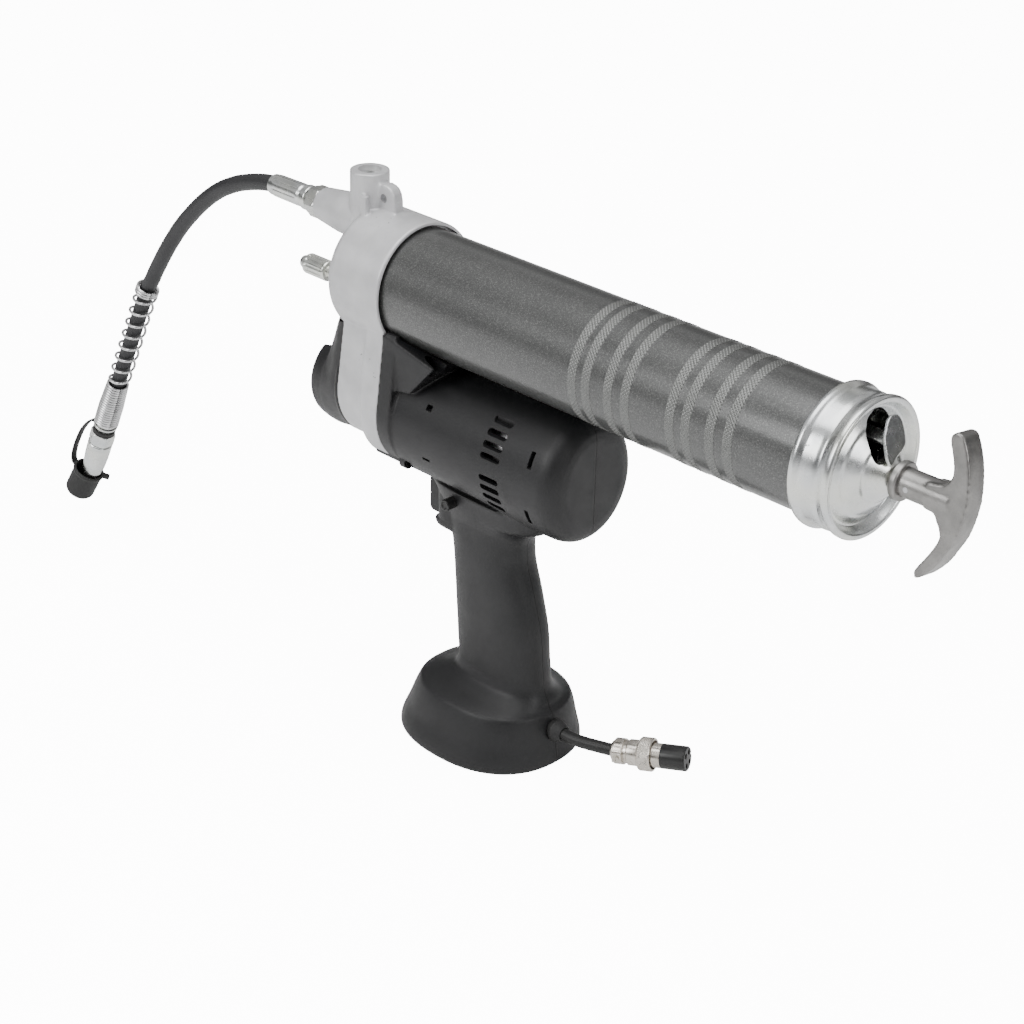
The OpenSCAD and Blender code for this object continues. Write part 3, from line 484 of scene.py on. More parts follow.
def metal(name, dark, light, rough, patch=60, grain=2200, grain_depth=0.03, wave=None, flecks=None,
          stretch=None, rough_span=0.12, metallic=1):
    """Bare or plated metal: two shades in soft patches, fine grain, and small pits."""
    mat, tree, shader, coords = principled(name)
    soft = noise(tree, coords, patch, 5)
    colour = ramp(tree, soft, [(0.32, dark), (0.68, light)])
    if wave:
        tint = noise(tree, coords, patch * 0.6, 2)
        colour = mixed(tree, ramp(tree, tint, [(0.4, 0.0), (0.62, 0.55)]), colour, wave)
    fine = noise(tree, coords, grain, 3, stretch=stretch)
    layers = [(fine, 0.5, grain_depth)]
    if flecks:
        spots = cells(tree, coords, flecks)
        pit = ramp(tree, spots, [(0.05, 1.0), (0.14, 0.0)])
        gate = ramp(tree, noise(tree, coords, 45, 3), [(0.56, 0.0), (0.66, 1.0)])
        seen = mixed(tree, 1.0, pit, gate, "MULTIPLY")
        colour = mixed(tree, seen, colour, tuple(0.35 * c for c in dark))
        layers.append((seen, 0.6, -0.08))
    tree.links.new(colour, shader.inputs["Base Color"])
    spread = ramp(tree, noise(tree, coords, patch * 2.3, 5), [(0.3, rough), (0.7, rough + rough_span)])
    tree.links.new(spread, shader.inputs["Roughness"])
    shader.inputs["Metallic"].default_value = metallic
    bumped(tree, shader, layers)
    return mat


def moulding(name, base, rough, grain=2600, depth=0.05, speck=0.012, sheen=0.0):
    """Moulded plastic or rubber: even colour, fine spark-eroded grain, a trace of dust."""
    mat, tree, shader, coords = principled(name)
    soft = noise(tree, coords, 35, 4)
    low = tuple(0.82 * c for c in base)
    colour = ramp(tree, soft, [(0.3, low), (0.7, base)])
    dust = ramp(tree, cells(tree, coords, 900), [(0.03, 1.0), (0.08, 0.0)])
    gate = ramp(tree, noise(tree, coords, 60, 2), [(0.55, 0.0), (0.7, 0.5)])
    seen = mixed(tree, 1.0, dust, gate, "MULTIPLY")
    colour = mixed(tree, seen, colour, tuple(c + speck * 3 for c in base))
    tree.links.new(colour, shader.inputs["Base Color"])
    fine = noise(tree, coords, grain, 2)
    spread = ramp(tree, noise(tree, coords, 90, 4), [(0.3, rough), (0.7, rough + 0.1)])
    tree.links.new(spread, shader.inputs["Roughness"])
    shader.inputs["Specular IOR Level"].default_value = 0.45
    shader.inputs["Sheen Weight"].default_value = sheen
    bumped(tree, shader, [(fine, 0.5, depth)])
    return mat


def flake_paint(name):
    """Dark grey metallic paint with coarse bright flakes under a gloss coat."""
    mat, tree, shader, coords = principled(name)
    soft = noise(tree, coords, 22, 3)
    base = ramp(tree, soft, [(0.3, (0.090, 0.092, 0.091)), (0.7, (0.108, 0.110, 0.108))])
    flake = cells(tree, coords, 3200, output="Color")
    bright = ramp(tree, flake, [(0.45, (0.06, 0.062, 0.06)), (0.72, (0.12, 0.122, 0.12)),
                                (0.93, (0.28, 0.28, 0.27))])
    colour = mixed(tree, 0.5, base, bright)
    # the knurled bands are painted lighter: partly rubbed paint, partly a painted highlight standing in for the light
    # that the knurl catches
    split = tree.nodes.new("ShaderNodeSeparateXYZ")
    tree.links.new(coords, split.inputs["Vector"])
    along = tree.nodes.new("ShaderNodeMapRange")
    along.inputs["From Min"].default_value = KNURL_STARTS[-1] * MM - 0.004
    along.inputs["From Max"].default_value = KNURL_STARTS[0] * MM + 0.009
    tree.links.new(split.outputs["X"], along.inputs["Value"])
    reach = KNURL_STARTS[0] - KNURL_STARTS[-1] + 13
    stops = []
    for x in KNURL_STARTS[::-1]:
        low = (x - KNURL_STARTS[-1] + 4) / reach
        high = low + KNURL_W / reach
        stops += [(low - 0.002, 0.0), (low + 0.002, 0.26), (high - 0.002, 0.26), (high + 0.002, 0.0)]
    # a lighter grey over the bands: rubbed paint plus painted highlight
    colour = mixed(tree, ramp(tree, along.outputs["Result"], stops), colour, (0.36, 0.365, 0.35))
    tree.links.new(colour, shader.inputs["Base Color"])
    shader.inputs["Metallic"].default_value = 0.75
    shader.inputs["Roughness"].default_value = 0.42
    shader.inputs["Coat Weight"].default_value = 0.55
    shader.inputs["Coat Roughness"].default_value = 0.16
    wave = noise(tree, coords, 420, 2)
    bumped(tree, shader, [(cells(tree, coords, 3200), 0.3, 0.03), (wave, 0.3, 0.04)])
    return mat


def make_materials():
    """One material for each of the record's slots."""
    return {
        "cast_aluminium": metal("cast_aluminium", (0.55, 0.55, 0.56), (0.66, 0.66, 0.67), 0.44,
                                patch=70, grain=1700, grain_depth=0.06, flecks=260, metallic=0.55),
        "handle_aluminium": metal("handle_aluminium", (0.22, 0.216, 0.21), (0.34, 0.333, 0.323), 0.32,
                                  patch=90, grain=1500, grain_depth=0.06),
        "zinc_plate": metal("zinc_plate", (0.60, 0.62, 0.63), (0.76, 0.77, 0.77), 0.20,
                            patch=70, grain=1400, grain_depth=0.025, wave=(0.80, 0.80, 0.70), flecks=330),
        "barrel_paint": flake_paint("barrel_paint"),
        "black_nylon": moulding("black_nylon", (0.008, 0.008, 0.009), 0.42),
        "black_rubber": moulding("black_rubber", (0.018, 0.018, 0.018), 0.55, grain=1800),
        "hose_rubber": moulding("hose_rubber", (0.020, 0.020, 0.022), 0.40, grain=1500),
        "cable_rubber": moulding("cable_rubber", (0.014, 0.014, 0.014), 0.38, grain=1500),
        "nickel_plate": metal("nickel_plate", (0.60, 0.56, 0.50), (0.74, 0.70, 0.64), 0.22,
                              patch=160, grain=2400),
        "spring_steel": metal("spring_steel", (0.55, 0.55, 0.56), (0.78, 0.78, 0.78), 0.22, patch=120),
        "plain_steel": metal("plain_steel", (0.42, 0.42, 0.43), (0.60, 0.60, 0.61), 0.30, patch=90),
        "dark_steel": metal("dark_steel", (0.05, 0.05, 0.052), (0.09, 0.09, 0.092), 0.38, patch=120),
        "black_plastic": moulding("black_plastic", (0.016, 0.016, 0.016), 0.30, grain=3200, depth=0.02),
        "magnet": moulding("magnet", (0.05, 0.05, 0.055), 0.6),
        "carbon": moulding("carbon", (0.03, 0.03, 0.03), 0.6),
    }


def dress(piece, slot, body="tool"):
    """Gives a new piece its finish and the body that it moves with."""
    piece.data.materials.clear()
    piece.data.materials.append(materials[slot])
    if body:
        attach(piece, body)
    return piece


# ---------------------------------------------------------------- cords

def frame_axis(matrix):
    return matrix.to_3x3() @ Vector((0, 0, 1))


# route of the hose, from inside its ferrule to the coupler's sleeve
HOSE_ROUTE = [
    (148, 0, 245), (158, 0, 245), (166, 0, 244.2), (173.9, 0.1, 242.5), (180.8, 0.2, 240.5),
    (187.6, 0.4, 238.2), (193.9, 0.6, 235.4), (200.2, 0.8, 232.2), (206.5, 1, 228.2),
    (212.7, 1.3, 223.6), (219.4, 1.6, 217.9), (226.1, 1.9, 211.5), (232.3, 2.2, 205.1),
    (237.6, 2.5, 198.9), (242, 2.7, 193.2), (246.2, 2.9, 187.6), (250.2, 3.1, 181.8),
    (253.8, 3.3, 176.2), (257.2, 3.5, 170.9), (260.4, 3.7, 165.4), (264, 3.9, 160), (268.2, 4.2, 151),
    (272.3, 4.5, 142), (276.4, 4.8, 132.9), (280.5, 5, 123.8), (284.6, 5.3, 114.7),
    (288.7, 5.6, 105.6), (292.8, 5.8, 96.5), (296.8, 6.1, 87.5), (300, 6.3, 80.3),
    (303.1, 6.5, 73.4)]
HOSE_RADIUS = 4.3
GUARD_WIRE = 0.75

# route of the power cable, from inside its grommet to the connector
CABLE_ROUTE = [
    (-40, 0, 19.5), (-46, 0, 19.5), (-52, 0, 19.5), (-58, -0.6, 19.5),
    (-64, -2, 19.6), (-70, -3.9, 19.8), (-75.4, -5.9, 19.9), (-80, -7.8, 20.4)]
CABLE_RADIUS = 3.1

COUPLER = tilted((303.1, 6.5, 73.4), 157, 5)
DUST_CAP = tilted((323.8, 8.4, 30.1), 152, 20)
PLUG = tilted((-77.2, -6.6, 20), 82.5, 202.6)
OUTLET = along_x(0, 245)


def make_hose():
    line = spline(HOSE_ROUTE, 6)

    def skin(run, angle):
        wrap = 0.03 * math.sin(2.2 * run + 2 * angle) + 0.03 * math.sin(2.2 * run - 2 * angle)
        return HOSE_RADIUS - 0.06 + wrap

    bm = bmesh.new()
    tube(bm, line, HOSE_RADIUS, 48, shape=skin)
    outward(bm)
    hose = dress(to_object("hose_skin", bm), "hose_rubber")
    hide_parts("hose")
    return hose, line


def make_cable():
    line = spline(CABLE_ROUTE, 8)
    bm = bmesh.new()
    tube(bm, line, CABLE_RADIUS, 40)
    outward(bm)
    cable = dress(to_object("cable_skin", bm), "cable_rubber")
    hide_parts("power_cable")
    return cable, line


def make_guard(line):
    """The wire guard: close turns at the top, open turns, then close turns over the sleeve."""
    start = next(i for i, p in enumerate(line) if p.z < 160.2)
    axis = frame_axis(COUPLER)
    end = line[-1]
    path = line[start:] + [end + axis * d for d in (2.4, 4.8, 7.2, 8.2)]
    total = line_length(path)
    close = 1 / 1.68
    opened = 1 / 8.6

    def turns_at(s):
        if s < 4.6:
            return close
        if s < total - 31:
            return opened
        return close

    def radius(s):
        close_in = max(0, min(1, (s - total + 39) / 8))
        open_out = max(0, min(1, (s - total + 31) / 18))
        return 5.85 - 0.35 * close_in + 0.9 * open_out

    bm = bmesh.new()
    coil(bm, path, radius, GUARD_WIRE, turns_at)
    outward(bm)
    guard = dress(to_object("guard_wire", bm), "spring_steel")
    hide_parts("spring_guard")
    return guard


# ---------------------------------------------------------------- reservoir

AXIS_Z = 223
BARREL_X0 = -204.5
BARREL_X1 = 70.5
BARREL_R = 28.5
BARREL_IR = 27.2
KNURL_STARTS = (-75.6, -83.8, -96.8, -106.7, -132.3, -141.2, -154.4, -164.1)
KNURL_W = 5.0
KNURL_TEETH = 96


def triangle(v):
    """A triangle wave from 0 to 1 with a period of 1."""
    v = v % 1
    return 2 * v if v < 0.5 else 2 - 2 * v


def diamond(turn, run, teeth, pitch):
    """Height from 0 to 1 of a diamond knurl."""
    a = triangle(turn * teeth + run / pitch)
    b = triangle(turn * teeth - run / pitch)
    return min(1, 1.5 * min(a, b))


def make_barrel():
    pitch = TAU * BARREL_R / KNURL_TEETH
    marks = {BARREL_X0, BARREL_X0 + 0.4, BARREL_X1}
    for x in KNURL_STARTS:
        marks.update((x - 0.5, x - 0.3, x - 0.12, x, x + KNURL_W))
        marks.update((x + KNURL_W + 0.12, x + KNURL_W + 0.3, x + KNURL_W + 0.5))
        marks.update(x + KNURL_W * k / 16 for k in range(1, 16))
    xs = sorted(marks)

    def skin(t, a, r):
        if r < BARREL_R - 0.5:
            return r
        for x in KNURL_STARTS:
            if x - 1e-6 <= a <= x + KNURL_W + 1e-6:
                return BARREL_R - 0.1 + 0.34 * diamond(t / TAU, a - x, KNURL_TEETH, pitch)
        return BARREL_R

    outer = [(x, BARREL_R) for x in xs]
    inner = [(BARREL_X1, BARREL_IR), (BARREL_X0, BARREL_IR)]
    bm = bmesh.new()
    segments = KNURL_TEETH * 8
    rows = revolve(bm, outer + inner, along_x(0, AXIS_Z), segments, skin)
    for j in range(segments):
        k = (j + 1) % segments
        bm.faces.new((rows[-1][j], rows[-1][k], rows[0][k], rows[0][j]))
    outward(bm)
    barrel = dress(to_object("barrel_skin", bm, 50), "barrel_paint")
    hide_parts("barrel_tube")


CAP_PROFILE = [
    (-196, 28.55), (-196, 31.9), (-198.5, 32.2), (-200.5, 30.7), (-207, 30.5), (-209, 29.7),
    (-211.5, 30.6), (-213, 31.3), (-215, 31.4), (-216, 30.6), (-216, 28.6), (-213.5, 27.4),
    (-211.5, 26.2), (-211.5, 25), (-214.4, 21.6), (-215, 20.2), (-219.4, 14.8), (-220, 13.4),
    (-226.6, 6.4), (-227.6, 5.4), (-227.6, 3.56), (-221.5, 3.56), (-221.5, 7.6), (-212.5, 17.8),
    (-205, 17.8), (-205, 28.55)]
CAP_WINDOW = [(7.6, 6.8), (8.9, 10.6), (8.4, 16), (6.8, 20), (3.5, 23.2), (-3.6, 24.8), (-8.6, 22.4),
              (-9.2, 17), (-7.6, 11.8), (-2.6, 9.6), (1.4, 8.2)]


def about_barrel(turn):
    """Local frame on the barrel's axis, turned about it."""
    return Matrix.Translation((0, 0, AXIS_Z)) @ Matrix.Rotation(turn, 4, "X")


def make_end_cap():
    dents = [(0.4, 0.25), (2.1, 0.2), (3.6, 0.3), (5.0, 0.18)]

    def skin(t, a, r):
        if r < 24:
            return r
        return r + sum(0.03 * math.cos(3 * (t - s)) * k for s, k in dents)

    cap = turned_piece("cap_blank", CAP_PROFILE, along_x(0, AXIS_Z), 0.9, 192, skin, ring=True)
    cap.data.transform(Matrix.Scale(1 / MM, 4))
    window = bmesh.new()
    outline = [tuple(p) for p in closed_spline(CAP_WINDOW, 4)]
    add_plate(window, outline, -232, -204, about_barrel(0) @ yz_plane())
    outward(window)
    carved(cap, [window])
    dress(finished(cap, "end_cap_pressing", 40), "zinc_plate")
    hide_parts("end_cap")


def rounded_plate(bm, outline, low, high, matrix, edge=0.3):
    """A plate whose two rims are eased."""
    centre = Vector((sum(p[0] for p in outline) / len(outline), sum(p[1] for p in outline) / len(outline)))
    rings = []
    for h, inset in ((low, edge), (low + edge * 0.3, edge * 0.3), (low + edge, 0),
                     (high - edge, 0), (high - edge * 0.3, edge * 0.3), (high, edge)):
        ring = []
        n = len(outline)
        for i, p in enumerate(outline):
            p = Vector(p)
            a = (p - Vector(outline[i - 1])).normalized()
            b = (Vector(outline[(i + 1) % n]) - p).normalized()
            out = Vector((a.y + b.y, -(a.x + b.x))).normalized()
            if out.dot(p - centre) < 0 and inset:
                out = -out
            q = p - out * inset
            ring.append(matrix @ Vector((q.x, q.y, h)))
        rings.append(ring)
    loft(bm, rings)


def arc(cx, cy, r, start, end, parts=16):
    """Points round a circle, angles in degrees."""
    return [(cx + r * math.cos(math.radians(start + (end - start) * k / parts)),
             cy + r * math.sin(math.radians(start + (end - start) * k / parts))) for k in range(parts + 1)]


TAB_OUTLINE = [
    (5.9, -1.5), (7.1, 1.8), (6.4, 6.6), (5.2, 10.4), (2.9, 13.3), (0, 16.4), (-3.4, 17.5),
    (-6.4, 16.1), (-7.6, 13.3), (-7.4, 8.8), (-6, 4.3), (-2.4, 2.1), (1.4, 0.6)]


def make_latch():
    """The locking plate: a strip on the rod, folded back through the window into a thumb tab."""
    frame_here = about_barrel(0)
    bm = bmesh.new()
    add_box(bm, -203.4, -201.8, -9, 9, -17.6, 16, frame_here)
    add_cylinder(bm, frame_here @ along_y(-202.6, -17.6), -9, 9, 0.8, 24)
    add_box(bm, -224.2, -201.8, -5, 5, 14.4, 16, frame_here)
    lean = Matrix.Translation((-227.5, 0, 9)) @ Matrix.Rotation(math.radians(25.2), 4, "Y")
    tab = [tuple(p) for p in closed_spline(TAB_OUTLINE, 4)]
    add_plate(bm, tab, 0, 1.6, frame_here @ lean @ yz_plane())
    rounded = melted(bm, 0.28, 3)
    hole = cylinder_cut(frame_here @ along_x(), -206, -200, 4.4)
    slot = box_cut(-206, -200, -4.4, 4.4, 0, 3, frame_here)
    carved(rounded, [hole, slot])
    dress(finished(rounded, "latch_pressing", 50), "zinc_plate", "latch")
    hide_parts("latch_plate")


HANDLE_TURN = math.radians(8)
BAR_OUTLINE = [
    (-264.6, 3), (-264, 9), (-262.8, 15), (-261, 20.7), (-258.5, 26), (-256.4, 29), (-253.6, 29.4),
    (-251.4, 27.6), (-251.4, 25), (-252.7, 21.8), (-254.4, 17.4), (-255.3, 13.5), (-254.9, 10),
    (-252.6, 7), (-249, 6), (-244, 4.5), (-244, -4.5), (-249.8, -6), (-251.6, -8.2),
    (-253.9, -11.6), (-254.8, -14.7), (-253.9, -18.1), (-251.9, -22.3), (-249.6, -26.4),
    (-247.4, -30), (-246.4, -32.8), (-247.8, -34.8), (-250.6, -33), (-255.7, -27), (-259.1, -20.5),
    (-262, -14.2), (-263.5, -8.5), (-264.4, -2.2)]


def closed_spline(points, per_stretch):
    """A smooth closed curve through flat points."""
    pts = [Vector(p) for p in points]
    n = len(pts)
    out = []
    for i in range(n):
        a, b, c, d = (pts[(i + k - 1) % n] for k in range(4))
        for k in range(per_stretch):
            t = k / per_stretch
            out.append(0.5 * (2 * b + (c - a) * t + (2 * a - 5 * b + 4 * c - d) * t ** 2
                              + (3 * b - a - 3 * c + d) * t ** 3))
    return out


def make_handle():
    bm = bmesh.new()
    outline = [tuple(p) for p in closed_spline(BAR_OUTLINE, 4)]
    bar = about_barrel(HANDLE_TURN) @ xz_plane()
    add_plate(bm, outline, -5.7, 5.7, bar)
    add_cylinder(bm, along_x(0, AXIS_Z), -256, -229, 6.4, 96)
    handle = melted(bm, 0.45, 18)
    flange = bmesh.new()
    profile = eased([(-232, 0), (-232, 8.2), (-231.2, 8.6), (-229, 8.6), (-228.4, 8), (-228.4, 0)], 0.4)
    revolve(flange, profile, along_x(0, AXIS_Z), 96)
    outward(flange)
    carved(handle, [flange], "UNION")
    bore = cylinder_cut(along_x(0, AXIS_Z), -240, -218, 3.5)
    pin = cylinder_cut(along_y(-236, AXIS_Z), -12, 12, 1.2)
    carved(handle, [bore, pin])
    dress(finished(handle, "handle_casting", 45), "handle_aluminium", "rod")
    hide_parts("t_handle")


def make_follower_spring():
    bm = bmesh.new()
    x0 = BARREL_X0 + 1.4
    x1 = 36
    line = [Vector((x0 + (x1 - x0) * k / 40, 0, AXIS_Z)) for k in range(41)]
    total = x1 - x0

    def turns_at(s):
        close = s < 3.4 or s > total - 3.4
        return 1 / 1.8 if close else 1 / 17.5

    coil(bm, line, 24.6, 0.8, turns_at, sides=8, steps=40)
    outward(bm)
    spring = dress(to_object("follower_coil", bm), "spring_steel")
    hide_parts("follower_spring")
    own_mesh(spring)


def small_coil(name, node, x0, x1, r, wire, turns, y, z):
    """A short compression spring."""
    bm = bmesh.new()
    line = [Vector((x0 + wire + (x1 - x0 - 2 * wire) * k / 12, y, z)) for k in range(13)]
    coil(bm, line, r, wire, lambda s: turns / (x1 - x0 - 2 * wire), sides=8, steps=24)
    outward(bm)
    spring = dress(to_object(name, bm), "spring_steel")
    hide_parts(node)
    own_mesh(spring)


# ---------------------------------------------------------------- pump head

COLLAR_R = 31.6
PUMP_X = 89
PUMP_R = 9.6
PUMP_TOP = 271.4
MOTOR_Z = 161
FLANGE_SCREWS = ((21.6, 196.5, 47.6), (-21.6, 196.5, 47.6), (20.5, 141.2, 42), (-20.5, 141.2, 42))
NOSE_SCREWS = ((12.7, 187), (-12.7, 187))


def drop(r, zc, yt, zt, parts=120):
    """A drop-shaped outline: a circle below, straight flanks to a flat top."""
    d = math.hypot(yt, zt - zc)
    a0 = math.atan2(zt - zc, yt) - math.acos(min(1, r / d))
    sweep = math.pi + 2 * a0
    flank = (r * math.cos(a0), zc + r * math.sin(a0))
    right = [(yt + (flank[0] - yt) * k / 12, zt + (flank[1] - zt) * k / 12) for k in range(12)]
    low = [(r * math.cos(a0 - sweep * i / parts), zc + r * math.sin(a0 - sweep * i / parts))
           for i in range(parts + 1)]
    left = [(-p[0], p[1]) for p in right[::-1]]
    return right + low + left


LUG = [(68, 250), (68.4, 260), (69.2, 263.6), (71, 266), (73.6, 267.2), (76.4, 267.4), (79, 266.6),
       (81, 268.4), (82.6, 270), (85, 270.4), (85, 250)]


BLEEDER = along_x(23.5, 224.5)


def make_head():
    bm = bmesh.new()
    collar = [(50, 0), (50, COLLAR_R - 0.5), (50.6, COLLAR_R), (82.4, COLLAR_R),
              (85, COLLAR_R - 1.2), (86.4, COLLAR_R - 3.4), (86.4, 0)]
    revolve(bm, collar, along_x(0, AXIS_Z), 240)
    add_plate(bm, drop(31, 163, 26, 207), 51, 63, yz_plane())
    add_plate(bm, drop(30, 168, 25, 206), 62, 80, yz_plane())
    add_cylinder(bm, along_z(PUMP_X), 190, PUMP_TOP, PUMP_R)
    add_box(bm, 78, PUMP_X, -PUMP_R, PUMP_R, 192, 250)
    boss = [(90, 0), (90, 10.8), (106, 10.4), (122, 8.3), (122, 0)]
    revolve(bm, boss, OUTLET, 96)
    add_plate(bm, LUG, -3, 3, xz_plane())
    # a rib down each flank of the pump column
    for s in (-1, 1):
        add_box(bm, 80, 84.4, s * 9.6 - 1.4, s * 9.6 + 1.4, 248, 262)
    head = melted(bm, 0.55, 7)
    cuts = [
        cylinder_cut(along_x(0, AXIS_Z), 49, 55, 30, 160),
        cylinder_cut(along_x(0, AXIS_Z), 49, 73, 28.55, 160),
        cylinder_cut(along_x(0, AXIS_Z), 72, 76, 22),
        cylinder_cut(along_x(0, 237), 70, PUMP_X, 2.6),
        cylinder_cut(along_z(PUMP_X), 180, 262, 4),
        cylinder_cut(along_z(PUMP_X), 256, 280, 5.6),
        cylinder_cut(OUTLET, PUMP_X, 110, 1.8),
        cylinder_cut(OUTLET, 105.4, 118, 4.1),
        cylinder_cut(OUTLET, 116, 130, 5.3),
        cylinder_cut(BLEEDER, 73, 90, 3.2),
        cylinder_cut(along_y(76, 260.6), -10, 10, 2.2),
        cylinder_cut(along_x(0, MOTOR_Z), 50, 58.5, 23.1, 120),
        cylinder_cut(along_x(0, MOTOR_Z), 50, 76, 6),
        cylinder_cut(along_x(0, MOTOR_Z), 75.4, 90, 11)]
    for y, z, seat in FLANGE_SCREWS:
        cuts.append(cylinder_cut(along_x(y, z), 50, 61, 2, 32))
    for y, z in NOSE_SCREWS:
        cuts.append(cylinder_cut(along_x(y, z), 73, 83, 1.5, 32))
    carved(head, cuts)
    dress(finished(head, "head_cast", 45), "cast_aluminium")
    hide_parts("head_casting")


def hex_shape(flats, chamfer_at=None):
    """Limits a turned profile to a hexagon of that half width across flats."""
    def shape(t, a, r):
        local = (t + math.pi / 6) % (math.pi / 3) - math.pi / 6
        return min(r, flats / math.cos(local))
    return shape


def make_top_plug():
    """Threaded plug in the pump column with a hex socket."""
    def thread(t, a, r):
        if r < 4.6:
            return r
        return r - 0.32 * triangle((a + t / TAU) / 1.0)

    plug = turned_piece("plug_blank", [(256, 0), (256, 5), (257.5, 5.5), (268.6, 5.5), (269, 4.2), (269, 0)],
                        along_z(PUMP_X), 0.15, 96, thread, step=0.25)
    plug.data.transform(Matrix.Scale(1 / MM, 4))
    socket = bmesh.new()
    add_plate(socket, arc(0, 0, 3, 0, 300, 5), 262, 272, along_z(PUMP_X))
    outward(socket)
    carved(plug, [socket])
    dress(finished(plug, "top_plug_screw", 40), "zinc_plate")
    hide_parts("top_plug")


def make_outlet():
    """Hex adapter in the outlet boss, and the hose's crimped ferrule."""
    flats = 7.1
    hexagon = hex_shape(flats)

    def nut(t, a, r):
        return hexagon(t, a, r) if 122 <= a <= 129.5 else r

    profile = [(116.6, 1.9), (116.6, 5.25), (121.9, 5.25), (122, 7.3), (122.9, 8.2), (128.4, 8.2),
               (129.4, 7.1), (129.5, 4.4), (133.9, 4.4), (133.9, 1.9)]
    adapter = turned_piece("outlet_hex", profile, OUTLET, 0.12, 144, nut, ring=True)
    dress(adapter, "zinc_plate")
    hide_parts("outlet_adapter")

    def crimp(t, a, r):
        if r < 4.9 or not 137.5 < a < 157:
            return r
        ease = min(1, (a - 137.5) / 2, (157 - a) / 2)
        ridge = abs(math.sin(4 * t))
        return r + ease * (0.42 * ridge ** 0.5 - 0.34)

    profile = [(131, 4.4), (131, 6.1), (131.6, 6.4), (134.4, 6.4), (135.2, 5.3), (136.4, 5.3),
               (137.4, 5.8), (156.6, 5.6), (158, 5.4), (159.6, 5.3), (160, 5), (160, 4.32),
               (148, 4.32), (148, 1.9), (134, 1.9), (134, 4.4)]
    ferrule = turned_piece("hose_crimp", profile, OUTLET, 0.25, 192, crimp, step=0.8, ring=True)
    dress(ferrule, "zinc_plate")
    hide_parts("hose_ferrule")


def make_bleeder():
    """Bleeder valve: a knurled barrel and a button in its mouth."""
    def skin(t, a, r):
        if r < 4.6 or not 92.6 < a < 105.4:
            return r
        ease = min(1, (a - 92.6) / 0.8, (105.4 - a) / 0.8)
        return r - 0.42 * ease * (0.5 - 0.5 * math.cos(12 * t)) ** 3

    profile = [(76, 1.5), (76, 3.15), (91.4, 3.15), (91.5, 4.7), (92.1, 5.1), (106.2, 5.1), (107, 4.5),
               (107, 3.62), (100, 3.62), (100, 1.5)]
    body = turned_piece("bleeder_valve", profile, BLEEDER, 0.25, 192, skin, step=0.6, ring=True)
    dress(body, "zinc_plate")
    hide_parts("bleeder_body")
    button = turned_piece("bleeder_plunger", [
        (102, 0), (102, 1.4), (104.5, 1.4), (104.5, 3.55), (108.5, 3.55), (110.4, 2.9), (111, 1.6), (111, 0)],
        BLEEDER, 0.3, 72)
    dress(button, "zinc_plate", "bleeder")
    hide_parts("bleeder_button")


# ---------------------------------------------------------------- hose end

def make_coupler():
    def thread(t, a, r):
        if r < 4.6 or not 0.6 < a < 8:
            return r
        return r - 0.22 * triangle((a + t / TAU) / 1.1)

    sleeve = turned_piece("hose_end_sleeve", [
        (0.5, 4.32), (0.5, 4.8), (8.4, 5.3), (9.2, 5.6), (9.4, 6.7), (9.8, 6.9), (10.4, 6.8), (12.4, 5.2),
        (12.4, 2), (6, 2), (6, 4.32)], COUPLER, 0.15, 96, thread, step=0.4, ring=True)
    dress(sleeve, "zinc_plate")
    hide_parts("hose_sleeve")

    hexagon = hex_shape(6.4)

    def body_skin(t, a, r):
        if not 15.4 <= a <= 23:
            return r
        flat = hexagon(t, a, r)
        off = (t + math.pi / 6) % (math.pi / 3) - math.pi / 6
        near = math.hypot(6.4 * math.tan(off), a - 19.2)
        return flat - 0.5 * max(0, 1 - (near / 1.5) ** 4)

    body = turned_piece("coupler_barrel", [
        (12.4, 2), (12.4, 5.15), (15.3, 5.15), (15.4, 6.7), (16, 7.36), (22.4, 7.36), (23, 6.6),
        (23, 5.4), (46, 5.4), (46, 4.4), (53.4, 4.4), (54, 3.9), (54, 3.4), (48, 3.4),
        (48, 2)], COUPLER, 0.2, 180, body_skin, step=0.6, ring=True)
    dress(body, "zinc_plate")
    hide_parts("coupler_body")

    def grip(t, a, r):
        if r < 6.2 or not 26 < a < 28:
            return r
        return r - 0.25

    collar = turned_piece("coupler_collar", [
        (23.4, 5.45), (23.4, 6.6), (24, 7.1), (34, 6.9), (41, 6.4), (46, 5.7), (46, 5.45)],
        COUPLER, 0.25, 96, grip, step=0.5, ring=True)
    dress(collar, "zinc_plate")
    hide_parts("coupler_sleeve")


def make_dust_cap():
    bm = bmesh.new()
    profile = eased([(0, 0), (0, 9.2), (1.6, 9.2), (2.2, 8.6), (15.8, 8.5), (17.6, 7.4), (18.3, 5.6), (18.3, 0)], 0.8)
    revolve(bm, profile, DUST_CAP, 120)
    add_box(bm, 8, 12.6, -1.6, 1.6, 0, 2.4, DUST_CAP @ Matrix.Rotation(math.radians(-32), 4, "Z"))
    cap = melted(bm, 0.32, 5)
    carved(cap, [cylinder_cut(DUST_CAP, -1, 15.4, 7.8)])
    dress(finished(cap, "dust_cap_moulding", 45), "black_rubber", "cap")
    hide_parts("dust_cap")


STRAP_LINE = [(6.4, 13.7), (9.3, 15), (12.3, 20), (14.6, 27), (15.7, 34.5), (16.1, 41.5), (15.7, 47.5),
              (14.2, 51), (11.6, 51.8)]


